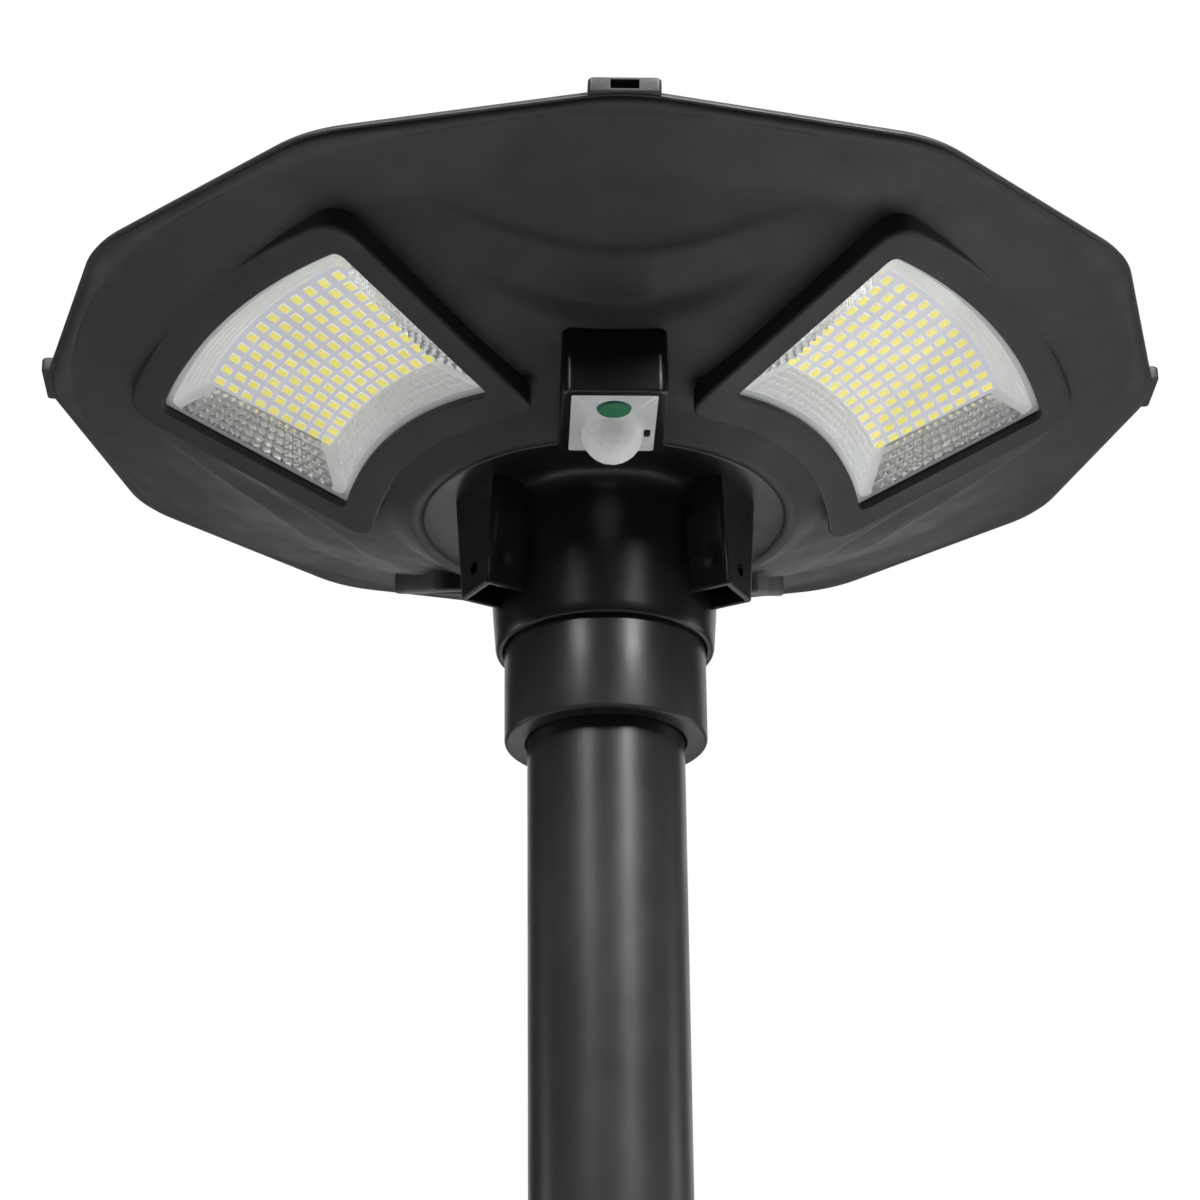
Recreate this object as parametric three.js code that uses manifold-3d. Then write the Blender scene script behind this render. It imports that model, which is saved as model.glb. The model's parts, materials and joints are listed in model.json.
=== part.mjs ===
// A round solar street lamp head on its pole stub, built as an assembly of separate pieces.
// Millimetres, +Z up. The origin is the centre of the pole stub's lower end, on the pole's axis.
// The head's own heights are counted from its rim plane, the lower edge of the twelve-sided rim.

import * as THREE from "three";
import { mergeVertices } from "three/addons/utils/BufferGeometryUtils.js";
import Module from "manifold-3d";

const wasm = await Module();
wasm.setup();

// ---------------------------------------------------------------- driving dimensions

const GAP = 0.3; // between pieces that touch
const RIM_Z = 430; // rim plane above the pole's lower end
const FRONT_DEG = -90; // the sensor box points along -Y

const SIDES = 12; // corners of the rim
const RIM_R = 280; // circumradius of the rim
const CORNER_TRIM = 18; // how far along each side a rim corner is rounded

const FLANGE_R = 276.4; // the lower housing's flange, inside the cover's skirt
const FLANGE_T = 3;
const FLANGE_HOLE_R = 249;

const COVER_EDGE_Z = 1; // the cover's upright edge ends here, and its slope starts
const COVER_RISE = 11;
const COVER_SLOPE_W = 23.5;
const PANEL_R = 254; // opening for the solar panel
const PANEL_LEDGE_R = 245;
const LEDGE_BOTTOM_Z = 5.6;
const LEDGE_TOP_Z = 8.6;
const GLASS_T = 3;
const LUG_R = [262, 279.6]; // four small lugs on the rim
const LUG_HALF = 16;
const LUG_Z = [0.6, 8];
const LUG_POCKET = { depth: 7, half: 6.3, low: 1.8, high: 6.4 };
const SCREW_HEAD_Z = 6.9;
const LAMINATE_T = 1;

const WALL = 3; // housing wall
// The housing's underside, outside to inside: radius and height
const UNDERSIDE = [
  [263, 0],
  [257, -1.5],
  [228, -9],
  [204, -20.5],
  [183, -30.6],
  [165, -39.2],
  [153, -45],
  [123, -56.5],
  [108, -62.5],
  [98, -69.5],
  [94, -72],
];
const DISH_SEGMENTS = 48;
const OUTER_STEPS = 8; // along a window's outer and inner edges
const INNER_STEPS = 6;
const ROUND_SEGMENTS = 36; // on the pole, sleeve and socket
const HUB_RECESS_R = 90.8;
const HUB_FLOOR_Z = -67.7; // underside of the housing's floor over the hub
const HUB_HOLE_R = 38; // wiring hole in the floor

// A shallow recess between each pair of windows; u runs outwards, v sideways
const RECESS_FLOOR = { radius: 228, z: -9, slope: 0.375 };
const RECESS_FOLD = { u: 182, round: 8, slope: 0.3 };
const RECESS_STEP = { u: 152, curve: 0.0042 };

const WINDOWS = 3;
const WINDOW_R = 160; // radius and height where the windows' tilt pivots
const WINDOW_Z = -38.4;
const WINDOW_SLOPE = 0.43;
const WINDOW_TILT = Math.atan(WINDOW_SLOPE);
// Outlines seen along the lamp's axis: u runs outwards and v sideways. The inner and outer
// edges are arcs through u on the window's middle line, and v is the half width at WINDOW_R.
const WINDOW = { inner: 119.5, innerArc: 200, outer: 209.5, outerArc: 395, v: 83.2, slope: 0.225 };
const BOARD = { inner: 135.8, innerArc: 255, outer: 197, outerArc: 350, v: 60.1, slope: 0.268 };
const WINDOW_CORNER = 5;
const BEZEL_CORNER = 14;
const BEZEL_W = 15.4;
const BEZEL_PROUD = 2.5;
const BEZEL_DEPTH = 20;
const BEZEL_TOP_Z = -0.6; // the bezel's back stops below the rim plane
const BEZEL_ROOT_Z = -90;
const REBATE_W = 6;
const REBATE_FACE = 1.2;

const LENS_T = 2;
const LENS_WALL = 1.8;
const LENS_CLEAR = 0.4;
const LENS_FLANGE_Z = 2.7;
const LENS_FLANGE_W = 5.2;
const TRAY_FACE_Z = LENS_T + GAP;
const TRAY_RIM_Z = LENS_FLANGE_Z + LENS_T + GAP;
const TRAY_TOP_Z = 11.3;
const TRAY_WALL = 1.4;
const TRAY_BACK_W = 4;
const BOARD_T = 1.6;
const SINK_T = 2;
const SINK_INSET = 2;

const POLE_R = 38;
const POLE_WALL = 3;
const POLE_TOP_Z = -79;
const SLEEVE_R = 49;
const SLEEVE_BORE_R = 38.4;
const SLEEVE_Z = [-192, -75];
const SOCKET_FLANGE_R = 90;
const SOCKET_FACE_Z = -73.5;
const SOCKET_BORE_R = 49.4;
const SOCKET_BOTTOM_Z = -145;
const SOCKET_CEILING_Z = -74.2;
const SOCKET_TOP_Z = HUB_FLOOR_Z - GAP;

const GUSSET_U = 74; // outer face from the axis
const GUSSET_Z = [-128, SOCKET_FACE_Z + 1];
const GUSSET_HALF = [13, 19.5]; // half width at the bottom and at the top
const GUSSET_WALL = 3;
const CLAMP_Z = -116;
const CLAMP_R = 3;

const BOX_U = [89, 152.5]; // sensor box, back to front
const BOX_HALF = 24.5;
const BOX_BOTTOM_Z = -79.5;
const BOX_WALL = 2.2;
const PLATE_U = [90.6, 147.5];
const PLATE_HALF = 20;
const PLATE_T = 0.6;
const DOME_U = 109;
const DOME_R = 14.5;
const BUTTON_U = 134;
const BUTTON_R = 7.8;
const BUTTON_TRAVEL = 1.5;

const CELL_R = 16;
const CELL_LENGTH = 70;
const CELLS = 4;
const CELL_PITCH = 33;
const TRAY_FLOOR_Z = HUB_FLOOR_Z + WALL + GAP;
const BATTERY_WALL = 2;

// ---------------------------------------------------------------- materials

function material(colour, roughness, metalness) {
  return new THREE.MeshStandardMaterial({ color: colour, roughness, metalness });
}

const satinBlack = material(0x2b2b2d, 0.55, 0);
const glossBlack = material(0x121215, 0.25, 0);
const darkPaint = material(0x36373a, 0.4, 0.3);
const clear = material(0xe8eef0, 0.08, 0);
const panelBlue = material(0x101a33, 0.25, 0.1);
const reflectorWhite = material(0xe6e6e0, 0.25, 0.2);
const boardWhite = material(0xe4e2d4, 0.5, 0);
const boardGreen = material(0x1d5a38, 0.5, 0);
const aluminium = material(0xb4b7ba, 0.35, 1);
const silver = material(0xa9abad, 0.4, 0.7);
const steel = material(0xb9bbbe, 0.3, 1);
const rubber = material(0x18181a, 0.85, 0);
const buttonGreen = material(0x0a8a55, 0.45, 0);
const domeWhite = material(0xf1f1ec, 0.35, 0);
const cellBlue = material(0x2a63a8, 0.4, 0);
const wireRed = material(0xa3221c, 0.5, 0);
const wireBlack = material(0x1b1b1c, 0.5, 0);

// ---------------------------------------------------------------- solids

const rad = THREE.MathUtils.degToRad;

// A closed geometry as a solid that can be joined and cut.
function solid(geometry) {
  const plain = geometry.clone();
  plain.deleteAttribute("normal");
  plain.deleteAttribute("uv");
  const merged = mergeVertices(plain, 1e-4);
  const index = merged.index.array;
  const kept = [];
  for (let i = 0; i < index.length; i += 3) {
    const [a, b, c] = index.slice(i, i + 3);
    if (a !== b && b !== c && c !== a) kept.push(a, b, c);
  }
  const vertProperties = merged.attributes.position.array;
  const build = (triVerts) =>
    new wasm.Manifold(new wasm.Mesh({ numProp: 3, vertProperties, triVerts }));
  const made = build(new Uint32Array(kept));
  return made.volume() > 0 ? made : build(new Uint32Array(kept.reverse()));
}

function geometryOf(body) {
  const { vertProperties, triVerts } = body.getMesh();
  const geometry = new THREE.BufferGeometry();
  geometry.setAttribute("position", new THREE.BufferAttribute(vertProperties, 3));
  geometry.setIndex(new THREE.BufferAttribute(triVerts, 1));
  const flat = geometry.toNonIndexed();
  flat.computeVertexNormals();
  return flat;
}

function cut(body, ...tools) {
  return tools.reduce((left, tool) => left.subtract(tool), body);
}

function join(first, ...others) {
  return others.reduce((sum, other) => sum.add(other), first);
}

// A profile of radius and height turned round the Z axis.
function turned(profile, segments) {
  const points = profile.map(([r, z]) => new THREE.Vector2(r, z));
  return new THREE.LatheGeometry(points, segments).rotateX(Math.PI / 2);
}

function ring(inner, outer, low, high, segments) {
  const section = [
    [inner, low],
    [outer, low],
    [outer, high],
    [inner, high],
    [inner, low],
  ];
  return solid(turned(section, segments));
}

function disc(radius, low, high, segments) {
  const section = [
    [0, low],
    [radius, low],
    [radius, high],
    [0, high],
  ];
  return solid(turned(section, segments));
}

function prism(shape, low, high, curveSegments = 4) {
  const geometry = new THREE.ExtrudeGeometry(shape, {
    depth: high - low,
    bevelEnabled: false,
    curveSegments,
  });
  return solid(geometry.translate(0, 0, low));
}

function block(x, y, z) {
  const size = [x, y, z].map(([low, high]) => high - low);
  const middle = [x, y, z].map(([low, high]) => (low + high) / 2);
  return solid(new THREE.BoxGeometry(...size).translate(...middle));
}

// A turned solid whose axis points outwards from the pole axis at a height.
function radialRod(radius, from, to, z, azimuth, segments) {
  return disc(radius, from, to, segments)
    .rotate([0, 90, 0])
    .translate([0, 0, z])
    .rotate([0, 0, azimuth]);
}

function at(body, x, y, z) {
  return body.translate([x, y, z]);
}

// The twelve-sided outline, with rounded corners, one of them at the front.
function dodecagon(circumradius, trim = CORNER_TRIM) {
  const shape = new THREE.Shape();
  const corner = (i) =>
    new THREE.Vector2(circumradius, 0).rotateAround(
      new THREE.Vector2(),
      rad(FRONT_DEG + (360 / SIDES) * i),
    );
  for (let i = 0; i < SIDES; i += 1) {
    const here = corner(i);
    const start = here.clone().lerp(corner(i - 1), trim / here.distanceTo(corner(i - 1)));
    const end = here.clone().lerp(corner(i + 1), trim / here.distanceTo(corner(i + 1)));
    if (i === 0) shape.moveTo(start.x, start.y);
    else shape.lineTo(start.x, start.y);
    shape.quadraticCurveTo(here.x, here.y, end.x, end.y);
  }
  shape.closePath();
  return shape;
}

// ---------------------------------------------------------------- the dish and its recesses

function interpolate(points, r) {
  for (let i = 1; i < points.length; i += 1) {
    const [r0, z0] = points[i - 1];
    const [r1, z1] = points[i];
    if (r <= r0 && r >= r1) return z0 + ((z1 - z0) * (r0 - r)) / (r0 - r1);
  }
  return r > points[0][0] ? points[0][1] : points[points.length - 1][1];
}

// How far the underside is raised at (x, y) by the recess between two windows.
function recessRise(x, y) {
  const r = Math.hypot(x, y);
  const floorZ = RECESS_FLOOR.z - RECESS_FLOOR.slope * (RECESS_FLOOR.radius - r);
  const depth = floorZ - interpolate(UNDERSIDE, r);
  if (depth <= 0 || r >= RECESS_FLOOR.radius || r < RECESS_STEP.u - 2) return 0;
  const pitch = 360 / WINDOWS;
  const turn = THREE.MathUtils.radToDeg(Math.atan2(y, x)) - FRONT_DEG;
  const local = rad(turn - pitch * Math.round(turn / pitch));
  const u = r * Math.cos(local);
  const v = r * Math.sin(local);
  const fold =
    RECESS_FOLD.u + Math.hypot(RECESS_FOLD.round, RECESS_FOLD.slope * v) - RECESS_FOLD.round;
  const step = RECESS_STEP.u + RECESS_STEP.curve * v * v;
  if (u <= step || fold <= step) return 0;
  const toStep = Math.max(0, (fold - u) / (fold - step));
  return depth * (1 - toStep * toStep);
}

// Raises the dish's vertices into the recesses.
function withRecesses(geometry) {
  const place = geometry.attributes.position;
  for (let i = 0; i < place.count; i += 1) {
    const rise = recessRise(place.getX(i), place.getY(i));
    place.setZ(i, place.getZ(i) + rise);
  }
  return geometry;
}

// Everything above the housing's underside, lowered by a clearance.
function aboveUnderside(clearance) {
  const edge = UNDERSIDE[0][0];
  const profile = [
    [0, 40],
    [edge, 40],
    ...UNDERSIDE.map(([r, z]) => [r, z - clearance]),
    [HUB_RECESS_R, SOCKET_FACE_Z - clearance],
    [0, SOCKET_FACE_Z - clearance],
  ];
  return solid(withRecesses(turned(profile, DISH_SEGMENTS)));
}

function dishShell() {
  const inside = UNDERSIDE.map(([r, z]) => [r - WALL * 0.3, z + WALL]).reverse();
  const profile = [
    ...UNDERSIDE,
    [92, -71.5],
    [HUB_RECESS_R, -70.5],
    [HUB_RECESS_R, HUB_FLOOR_Z],
    [HUB_HOLE_R, HUB_FLOOR_Z],
    [HUB_HOLE_R, HUB_FLOOR_Z + WALL],
    [UNDERSIDE.at(-1)[0], HUB_FLOOR_Z + WALL],
    ...inside.slice(2),
    UNDERSIDE[0],
  ];
  return solid(withRecesses(turned(profile, DISH_SEGMENTS)));
}

// ---------------------------------------------------------------- windows

// An outline in the window's own plane, grown by an offset: s runs outwards, t sideways.
function outlineOf(edges, offset, corner = WINDOW_CORNER) {
  const lean = Math.atan(edges.slope);
  const sideV = (u) => edges.v + offset / Math.cos(lean) + edges.slope * (u - WINDOW_R);
  // An arc's u at sideways distance v, and its corner with the side line
  const arcs = [
    { peak: edges.inner - offset, radius: edges.innerArc - offset },
    { peak: edges.outer + offset, radius: edges.outerArc + offset },
  ];
  const arcU = ({ peak, radius }, v) => peak - radius + Math.sqrt(radius * radius - v * v);
  const meet = (arc) => {
    let u = arc.peak;
    for (let i = 0; i < 12; i += 1) u = arcU(arc, sideV(u));
    return { u, v: sideV(u) };
  };
  const [inner, outer] = arcs;
  const near = meet(inner);
  const far = meet(outer);
  const du = corner * Math.cos(lean);
  const dv = corner * Math.sin(lean);
  const flat = (u, v) => [(u - WINDOW_R) / Math.cos(WINDOW_TILT), v];
  const arcPoints = (arc, from, to, steps) =>
    Array.from({ length: steps + 1 }, (_, i) => {
      const v = from + ((to - from) * i) / steps;
      return [arcU(arc, v), v];
    });
  // A rounded corner from one point to another, bent towards the corner
  const bend = (a, c, b) =>
    [1, 2].map((i) => {
      const k = i / 3;
      const [x, y] = [0, 1].map(
        (n) => (1 - k) * (1 - k) * a[n] + 2 * k * (1 - k) * c[n] + k * k * b[n],
      );
      return [x, y];
    });
  const farEdge = far.v - corner;
  const nearEdge = near.v - corner;
  const outerPoints = arcPoints(outer, -farEdge, farEdge, OUTER_STEPS);
  const innerPoints = arcPoints(inner, nearEdge, -nearEdge, INNER_STEPS);
  const sideFar = [far.u - du, far.v - dv];
  const sideNear = [near.u + du, near.v + dv];
  const mirror = ([u, v]) => [u, -v];
  const points = [
    ...outerPoints,
    ...bend(outerPoints.at(-1), [far.u, far.v], sideFar),
    sideFar,
    sideNear,
    ...bend(sideNear, [near.u, near.v], innerPoints[0]),
    ...innerPoints,
    ...bend(innerPoints.at(-1), [near.u, -near.v], mirror(sideNear)),
    mirror(sideNear),
    mirror(sideFar),
    ...bend(mirror(sideFar), [far.u, -far.v], outerPoints[0]),
  ];
  return points.map(([u, v]) => flat(u, v));
}

// The same outline as it is seen along the lamp's axis.
function seenFromBelow(outline) {
  return outline.map(([s, t]) => [WINDOW_R + s * Math.cos(WINDOW_TILT), t]);
}

function windowOutline(offset, corner) {
  const shape = new THREE.Shape();
  outlineOf(WINDOW, offset, corner).forEach(([s, t], i) => {
    if (i === 0) shape.moveTo(s, t);
    else shape.lineTo(s, t);
  });
  shape.closePath();
  return shape;
}

// A solid between two outlines with the same number of points, at two heights.
function between(lower, upper, low, high) {
  const count = lower.length;
  const middle = (ring) => {
    const sum = ring.reduce(([x, y], [px, py]) => [x + px, y + py], [0, 0]);
    return sum.map((v) => v / count);
  };
  const points = [
    ...lower.map(([x, y]) => [x, y, low]),
    ...upper.map(([x, y]) => [x, y, high]),
    [...middle(lower), low],
    [...middle(upper), high],
  ];
  const faces = [];
  for (let i = 0; i < count; i += 1) {
    const j = (i + 1) % count;
    faces.push(i, j, count + j, i, count + j, count + i);
    faces.push(j, i, 2 * count, count + i, count + j, 2 * count + 1);
  }
  const geometry = new THREE.BufferGeometry();
  geometry.setAttribute("position", new THREE.Float32BufferAttribute(points.flat(), 3));
  geometry.setIndex(faces);
  return solid(geometry);
}

function withHole(shape, hole) {
  shape.holes.push(hole);
  return shape;
}

// Azimuth of window i: they lie either side of the sensor box and behind the hub.
function windowAzimuth(i) {
  return FRONT_DEG + 60 + (360 / WINDOWS) * i;
}

// Moves a solid from a window's own plane to its place on the head.
function toWindow(body, i) {
  return body
    .rotate([0, -THREE.MathUtils.radToDeg(WINDOW_TILT), 0])
    .translate([WINDOW_R, 0, WINDOW_Z])
    .rotate([0, 0, windowAzimuth(i)]);
}

const windowPrism = (offset, low, high) =>
  prism(windowOutline(offset), low, high);

// The block that each bezel is cut from: upright walls, and a face along the window's tilt
function bezelBlock(i) {
  const outline = seenFromBelow(outlineOf(WINDOW, BEZEL_W, BEZEL_CORNER));
  const upright = between(outline, outline, BEZEL_ROOT_Z, BEZEL_TOP_Z);
  const reach = [-200, 200];
  const below = toWindow(block(reach, reach, [-150, -BEZEL_PROUD]), i);
  const above = toWindow(block(reach, reach, [BEZEL_DEPTH, 150]), i);
  return cut(upright.rotate([0, 0, windowAzimuth(i)]), below, above);
}

function lensGasket() {
  const outline = withHole(windowOutline(LENS_FLANGE_W), windowOutline(1));
  return prism(outline, REBATE_FACE + GAP, LENS_FLANGE_Z - GAP);
}

// A shallow clear tray, hollow behind its face, with a flange that the bezel's rebate holds
function lens() {
  const back = LENS_FLANGE_Z + LENS_T;
  const face = windowPrism(-LENS_CLEAR, 0, back);
  const flange = windowPrism(LENS_FLANGE_W, LENS_FLANGE_Z, back);
  return cut(join(face, flange), windowPrism(-LENS_CLEAR - LENS_WALL, LENS_T, back + 1));
}

function reflectorTray() {
  const front = -LENS_CLEAR - LENS_WALL - GAP;
  const body = between(
    outlineOf(WINDOW, front),
    outlineOf(BOARD, TRAY_BACK_W),
    TRAY_FACE_Z,
    TRAY_TOP_Z,
  );
  const hollow = between(
    outlineOf(WINDOW, front - TRAY_WALL),
    outlineOf(BOARD, 0),
    TRAY_FACE_Z - 0.01,
    TRAY_TOP_Z + 0.01,
  );
  const rim = windowPrism(LENS_FLANGE_W, TRAY_RIM_Z, TRAY_RIM_Z + TRAY_WALL);
  return cut(join(rim, body), hollow);
}

function boardPlate(offset, low, high) {
  const outline = outlineOf(BOARD, offset);
  return between(outline, outline, low, high);
}

function ledBoard() {
  const low = TRAY_TOP_Z + GAP;
  return boardPlate(TRAY_BACK_W, low, low + BOARD_T);
}

function heatSink() {
  const low = TRAY_TOP_Z + BOARD_T + 2 * GAP;
  return boardPlate(-SINK_INSET, low, low + SINK_T);
}

// ---------------------------------------------------------------- housing and cover

// Places of evenly spaced fasteners round the pole axis
function fastenerPlaces(radius, count, firstDeg) {
  return Array.from({ length: count }, (_, i) => {
    const angle = rad(firstDeg + (360 / count) * i);
    return [radius * Math.cos(angle), radius * Math.sin(angle)];
  });
}

const COVER_SCREWS = fastenerPlaces(263.5, 6, FRONT_DEG + 30);
const SOCKET_BOLTS = fastenerPlaces(80, 3, FRONT_DEG);

function lowerHousing() {
  const flange = cut(
    prism(dodecagon(FLANGE_R), 0, FLANGE_T, 2),
    prism(dodecagon(FLANGE_HOLE_R), -1, FLANGE_T + 1, 2),
  );
  let body = join(flange, dishShell());
  for (let i = 0; i < WINDOWS; i += 1) {
    body = join(body, bezelBlock(i));
    body = cut(
      body,
      toWindow(windowPrism(0, -20, 40), i),
      toWindow(windowPrism(REBATE_W, REBATE_FACE, 40), i),
    );
  }
  for (const [x, y] of COVER_SCREWS) {
    body = cut(body, at(disc(1.9, -2, 4, 8), x, y, 0));
  }
  for (const [x, y] of SOCKET_BOLTS) {
    body = cut(body, at(disc(2.6, -80, -60, 10), x, y, 0));
  }
  const cableSlot = block([-14, 14], [-146, -104], [-80, -30]);
  return cut(body, cableSlot);
}

function upperCover() {
  const chamfered = new THREE.ExtrudeGeometry(dodecagon(RIM_R), {
    depth: 2 * COVER_EDGE_Z,
    bevelThickness: COVER_RISE,
    bevelSize: COVER_SLOPE_W,
    bevelOffset: -COVER_SLOPE_W,
    bevelSegments: 1,
    curveSegments: 2,
  });
  const outer = cut(
    solid(chamfered.translate(0, 0, -COVER_EDGE_Z)),
    block([-300, 300], [-300, 300], [-40, 0]),
  );
  const skirt = prism(dodecagon(FLANGE_R + 0.6), -1, FLANGE_T + 0.6, 2);
  const room = prism(dodecagon(PANEL_R), -1, LEDGE_BOTTOM_Z, 2);
  const opening = prism(dodecagon(PANEL_LEDGE_R), 0, 20, 2);
  const seat = prism(dodecagon(PANEL_R), LEDGE_TOP_Z, 20, 2);
  let body = outer;
  for (const azimuth of [0, 90, 180, 270]) {
    const lugOut = LUG_R[1];
    const { depth, half, low, high } = LUG_POCKET;
    const lug = block(LUG_R, [-LUG_HALF, LUG_HALF], LUG_Z);
    const pocket = block([lugOut - depth, lugOut + 5], [-half, half], [low, high]);
    body = cut(join(body, lug.rotate([0, 0, azimuth])), pocket.rotate([0, 0, azimuth]));
  }
  body = cut(body, skirt, room, opening, seat);
  for (const [x, y] of COVER_SCREWS) {
    const hole = disc(1.9, -2, 20, 8);
    const headRoom = disc(3.8, SCREW_HEAD_Z - GAP, 20, 10);
    body = cut(body, at(hole, x, y, 0), at(headRoom, x, y, 0));
  }
  return body;
}

function coverScrew([x, y]) {
  const shank = disc(1.5, 0.4, SCREW_HEAD_Z + 0.2, 6);
  const head = disc(3.4, SCREW_HEAD_Z, SCREW_HEAD_Z + 2, 10);
  return at(join(shank, head), x, y, 0);
}

function rimSeal() {
  const outline = withHole(dodecagon(PANEL_R - 1), dodecagon(PANEL_R - 6));
  return prism(outline, FLANGE_T + GAP, LEDGE_BOTTOM_Z - GAP, 2);
}

// ---------------------------------------------------------------- pole, sleeve and socket

function poleTube() {
  return ring(POLE_R - POLE_WALL, POLE_R, 0, RIM_Z + POLE_TOP_Z, ROUND_SEGMENTS);
}

function adapterSleeve() {
  return ring(SLEEVE_BORE_R, SLEEVE_R, RIM_Z + SLEEVE_Z[0], RIM_Z + SLEEVE_Z[1], ROUND_SEGMENTS);
}

function gussetShell() {
  const outline = (inset, low, high) => {
    const [bottom, top] = GUSSET_HALF;
    const lean = (top - bottom) / (GUSSET_Z[1] - GUSSET_Z[0]);
    const half = (z) => bottom + lean * (z - GUSSET_Z[0]) - inset;
    const shape = new THREE.Shape();
    shape.moveTo(-half(low), low);
    shape.lineTo(half(low), low);
    shape.lineTo(half(high), high);
    shape.lineTo(-half(high), high);
    shape.closePath();
    return shape;
  };
  // The outline stands in the v-z plane and is pushed out along u
  const stand = (body, from) => body.rotate([90, 0, 90]).translate([from, 0, 0]);
  const outer = stand(prism(outline(0, ...GUSSET_Z), 0, GUSSET_U - 45), 45);
  const inner = outline(GUSSET_WALL, GUSSET_Z[0] - 5, GUSSET_Z[1] - GUSSET_WALL - 2);
  const hollow = stand(prism(inner, 0, GUSSET_U - GUSSET_WALL - 40), 40);
  return cut(outer, hollow);
}

function poleSocket() {
  const wall = [
    [SOCKET_BORE_R, SOCKET_BOTTOM_Z],
    [52, SOCKET_BOTTOM_Z],
    [53.4, -143.4],
    [57.3, -82],
    [59, -77.5],
    [62, -74.6],
    [66, SOCKET_FACE_Z],
    [SOCKET_FLANGE_R, SOCKET_FACE_Z],
    [SOCKET_FLANGE_R, SOCKET_TOP_Z],
    [SOCKET_BORE_R, SOCKET_TOP_Z],
    [SOCKET_BORE_R, SOCKET_BOTTOM_Z],
  ];
  // The gussets stop a little inside the wall and the flange
  const core = [
    [0, SOCKET_BOTTOM_Z - 1],
    ...wall.slice(1, 8).map(([r, z]) => [r - 1, z + 1]),
    [SOCKET_FLANGE_R, -60],
    [0, -60],
  ];
  let body = solid(turned(wall, ROUND_SEGMENTS));
  body = join(body, ring(30, SOCKET_BORE_R + 1, SOCKET_CEILING_Z, SOCKET_TOP_Z, ROUND_SEGMENTS));
  const inside = solid(turned(core, ROUND_SEGMENTS));
  for (let i = 0; i < WINDOWS; i += 1) {
    const azimuth = windowAzimuth(i);
    const boss = radialRod(6, 52, 62, CLAMP_Z, azimuth, 12);
    const gusset = join(gussetShell().rotate([0, 0, azimuth]), boss);
    body = join(body, cut(gusset, inside));
  }
  for (let i = 0; i < WINDOWS; i += 1) {
    body = cut(body, radialRod(CLAMP_R + GAP, 40, 90, CLAMP_Z, windowAzimuth(i), 12));
  }
  for (const [x, y] of SOCKET_BOLTS) {
    body = cut(body, at(disc(2.6, SOCKET_FACE_Z + 1.2, -60, 10), x, y, 0));
  }
  return body;
}

function clampScrew(i) {
  const shank = radialRod(CLAMP_R, SLEEVE_R + GAP, 63, CLAMP_Z, windowAzimuth(i), 12);
  const drive = radialRod(1.6, 61, 66, CLAMP_Z, windowAzimuth(i), 6);
  return cut(shank, drive);
}

// Bolts down through the housing's floor into blind holes in the socket's flange
function socketBolt([x, y]) {
  return at(join(disc(2.2, SOCKET_FACE_Z + 1.6, -64, 10), disc(4.4, -64.4, -61.6, 10)), x, y, 0);
}

// ---------------------------------------------------------------- solar panel

function solarGlass() {
  const low = LEDGE_TOP_Z + GAP;
  return prism(dodecagon(PANEL_R - 0.4), low, low + GLASS_T, 2);
}

function solarLaminate() {
  return prism(dodecagon(PANEL_LEDGE_R - 0.4), LEDGE_TOP_Z - LAMINATE_T, LEDGE_TOP_Z, 2);
}

function panelJunctionBox() {
  const high = LEDGE_TOP_Z - LAMINATE_T - GAP;
  return block([-32, 32], [-22, 22], [high - 13, high]);
}

// ---------------------------------------------------------------- sensor box
// Built with u, outwards from the pole, along +X, then turned to the front.

const BOARD_U = [100.5, 147];
const SENSOR_BOARD_Z = [-70.3, -68.7];
const SWITCH_TIP_Z = -73.9;
const DOME_FLANGE_R = 15.6;
const BUTTON_FLANGE_R = 8.9;
const BUTTON_FACE_Z = BOX_BOTTOM_Z - 0.8;
const BOX_INSIDE_Z = BOX_BOTTOM_Z + BOX_WALL;

const toFront = (body) => body.rotate([0, 0, FRONT_DEG]);

function boxSection(inset, low) {
  const half = BOX_HALF - inset;
  const high = -42 - inset;
  const corner = 9;
  const shape = new THREE.Shape();
  shape.moveTo(-half, low);
  shape.lineTo(half, low);
  shape.lineTo(half, high - corner);
  shape.quadraticCurveTo(half, high, half - corner, high);
  shape.lineTo(corner - half, high);
  shape.quadraticCurveTo(-half, high, -half, high - corner);
  shape.closePath();
  return shape;
}

function sensorBox() {
  const stand = (body, from) => body.rotate([90, 0, 90]).translate([from, 0, 0]);
  const [back, front] = BOX_U;
  const outer = stand(prism(boxSection(0, BOX_BOTTOM_Z), 0, front - back), back);
  const room = prism(boxSection(BOX_WALL, BOX_INSIDE_Z), 0, front - back - 2 * BOX_WALL);
  const inner = stand(room, back + BOX_WALL);
  const half = PLATE_HALF + GAP;
  const pocket = block([PLATE_U[0] - GAP, PLATE_U[1] + GAP], [-half, half], [-81, -78.3]);
  const domeHole = at(disc(DOME_R + GAP, -90, -70, 24), DOME_U, 0, 0);
  const buttonHole = at(disc(BUTTON_R + GAP, -90, -70, 24), BUTTON_U, 0, 0);
  const placed = toFront(cut(outer, inner, pocket, domeHole, buttonHole));
  return cut(placed, aboveUnderside(GAP));
}

function labelPlate() {
  const low = BOX_BOTTOM_Z + GAP;
  const sheet = block(PLATE_U, [-PLATE_HALF, PLATE_HALF], [low, low + PLATE_T]);
  const slot = block([105, 113], [14.8, 17.8], [-90, -70]);
  const domeHole = at(disc(DOME_R + GAP, -90, -70, 24), DOME_U, 0, 0);
  const buttonHole = at(disc(BUTTON_R + GAP, -90, -70, 24), BUTTON_U, 0, 0);
  return toFront(cut(sheet, slot, domeHole, buttonHole));
}

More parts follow.
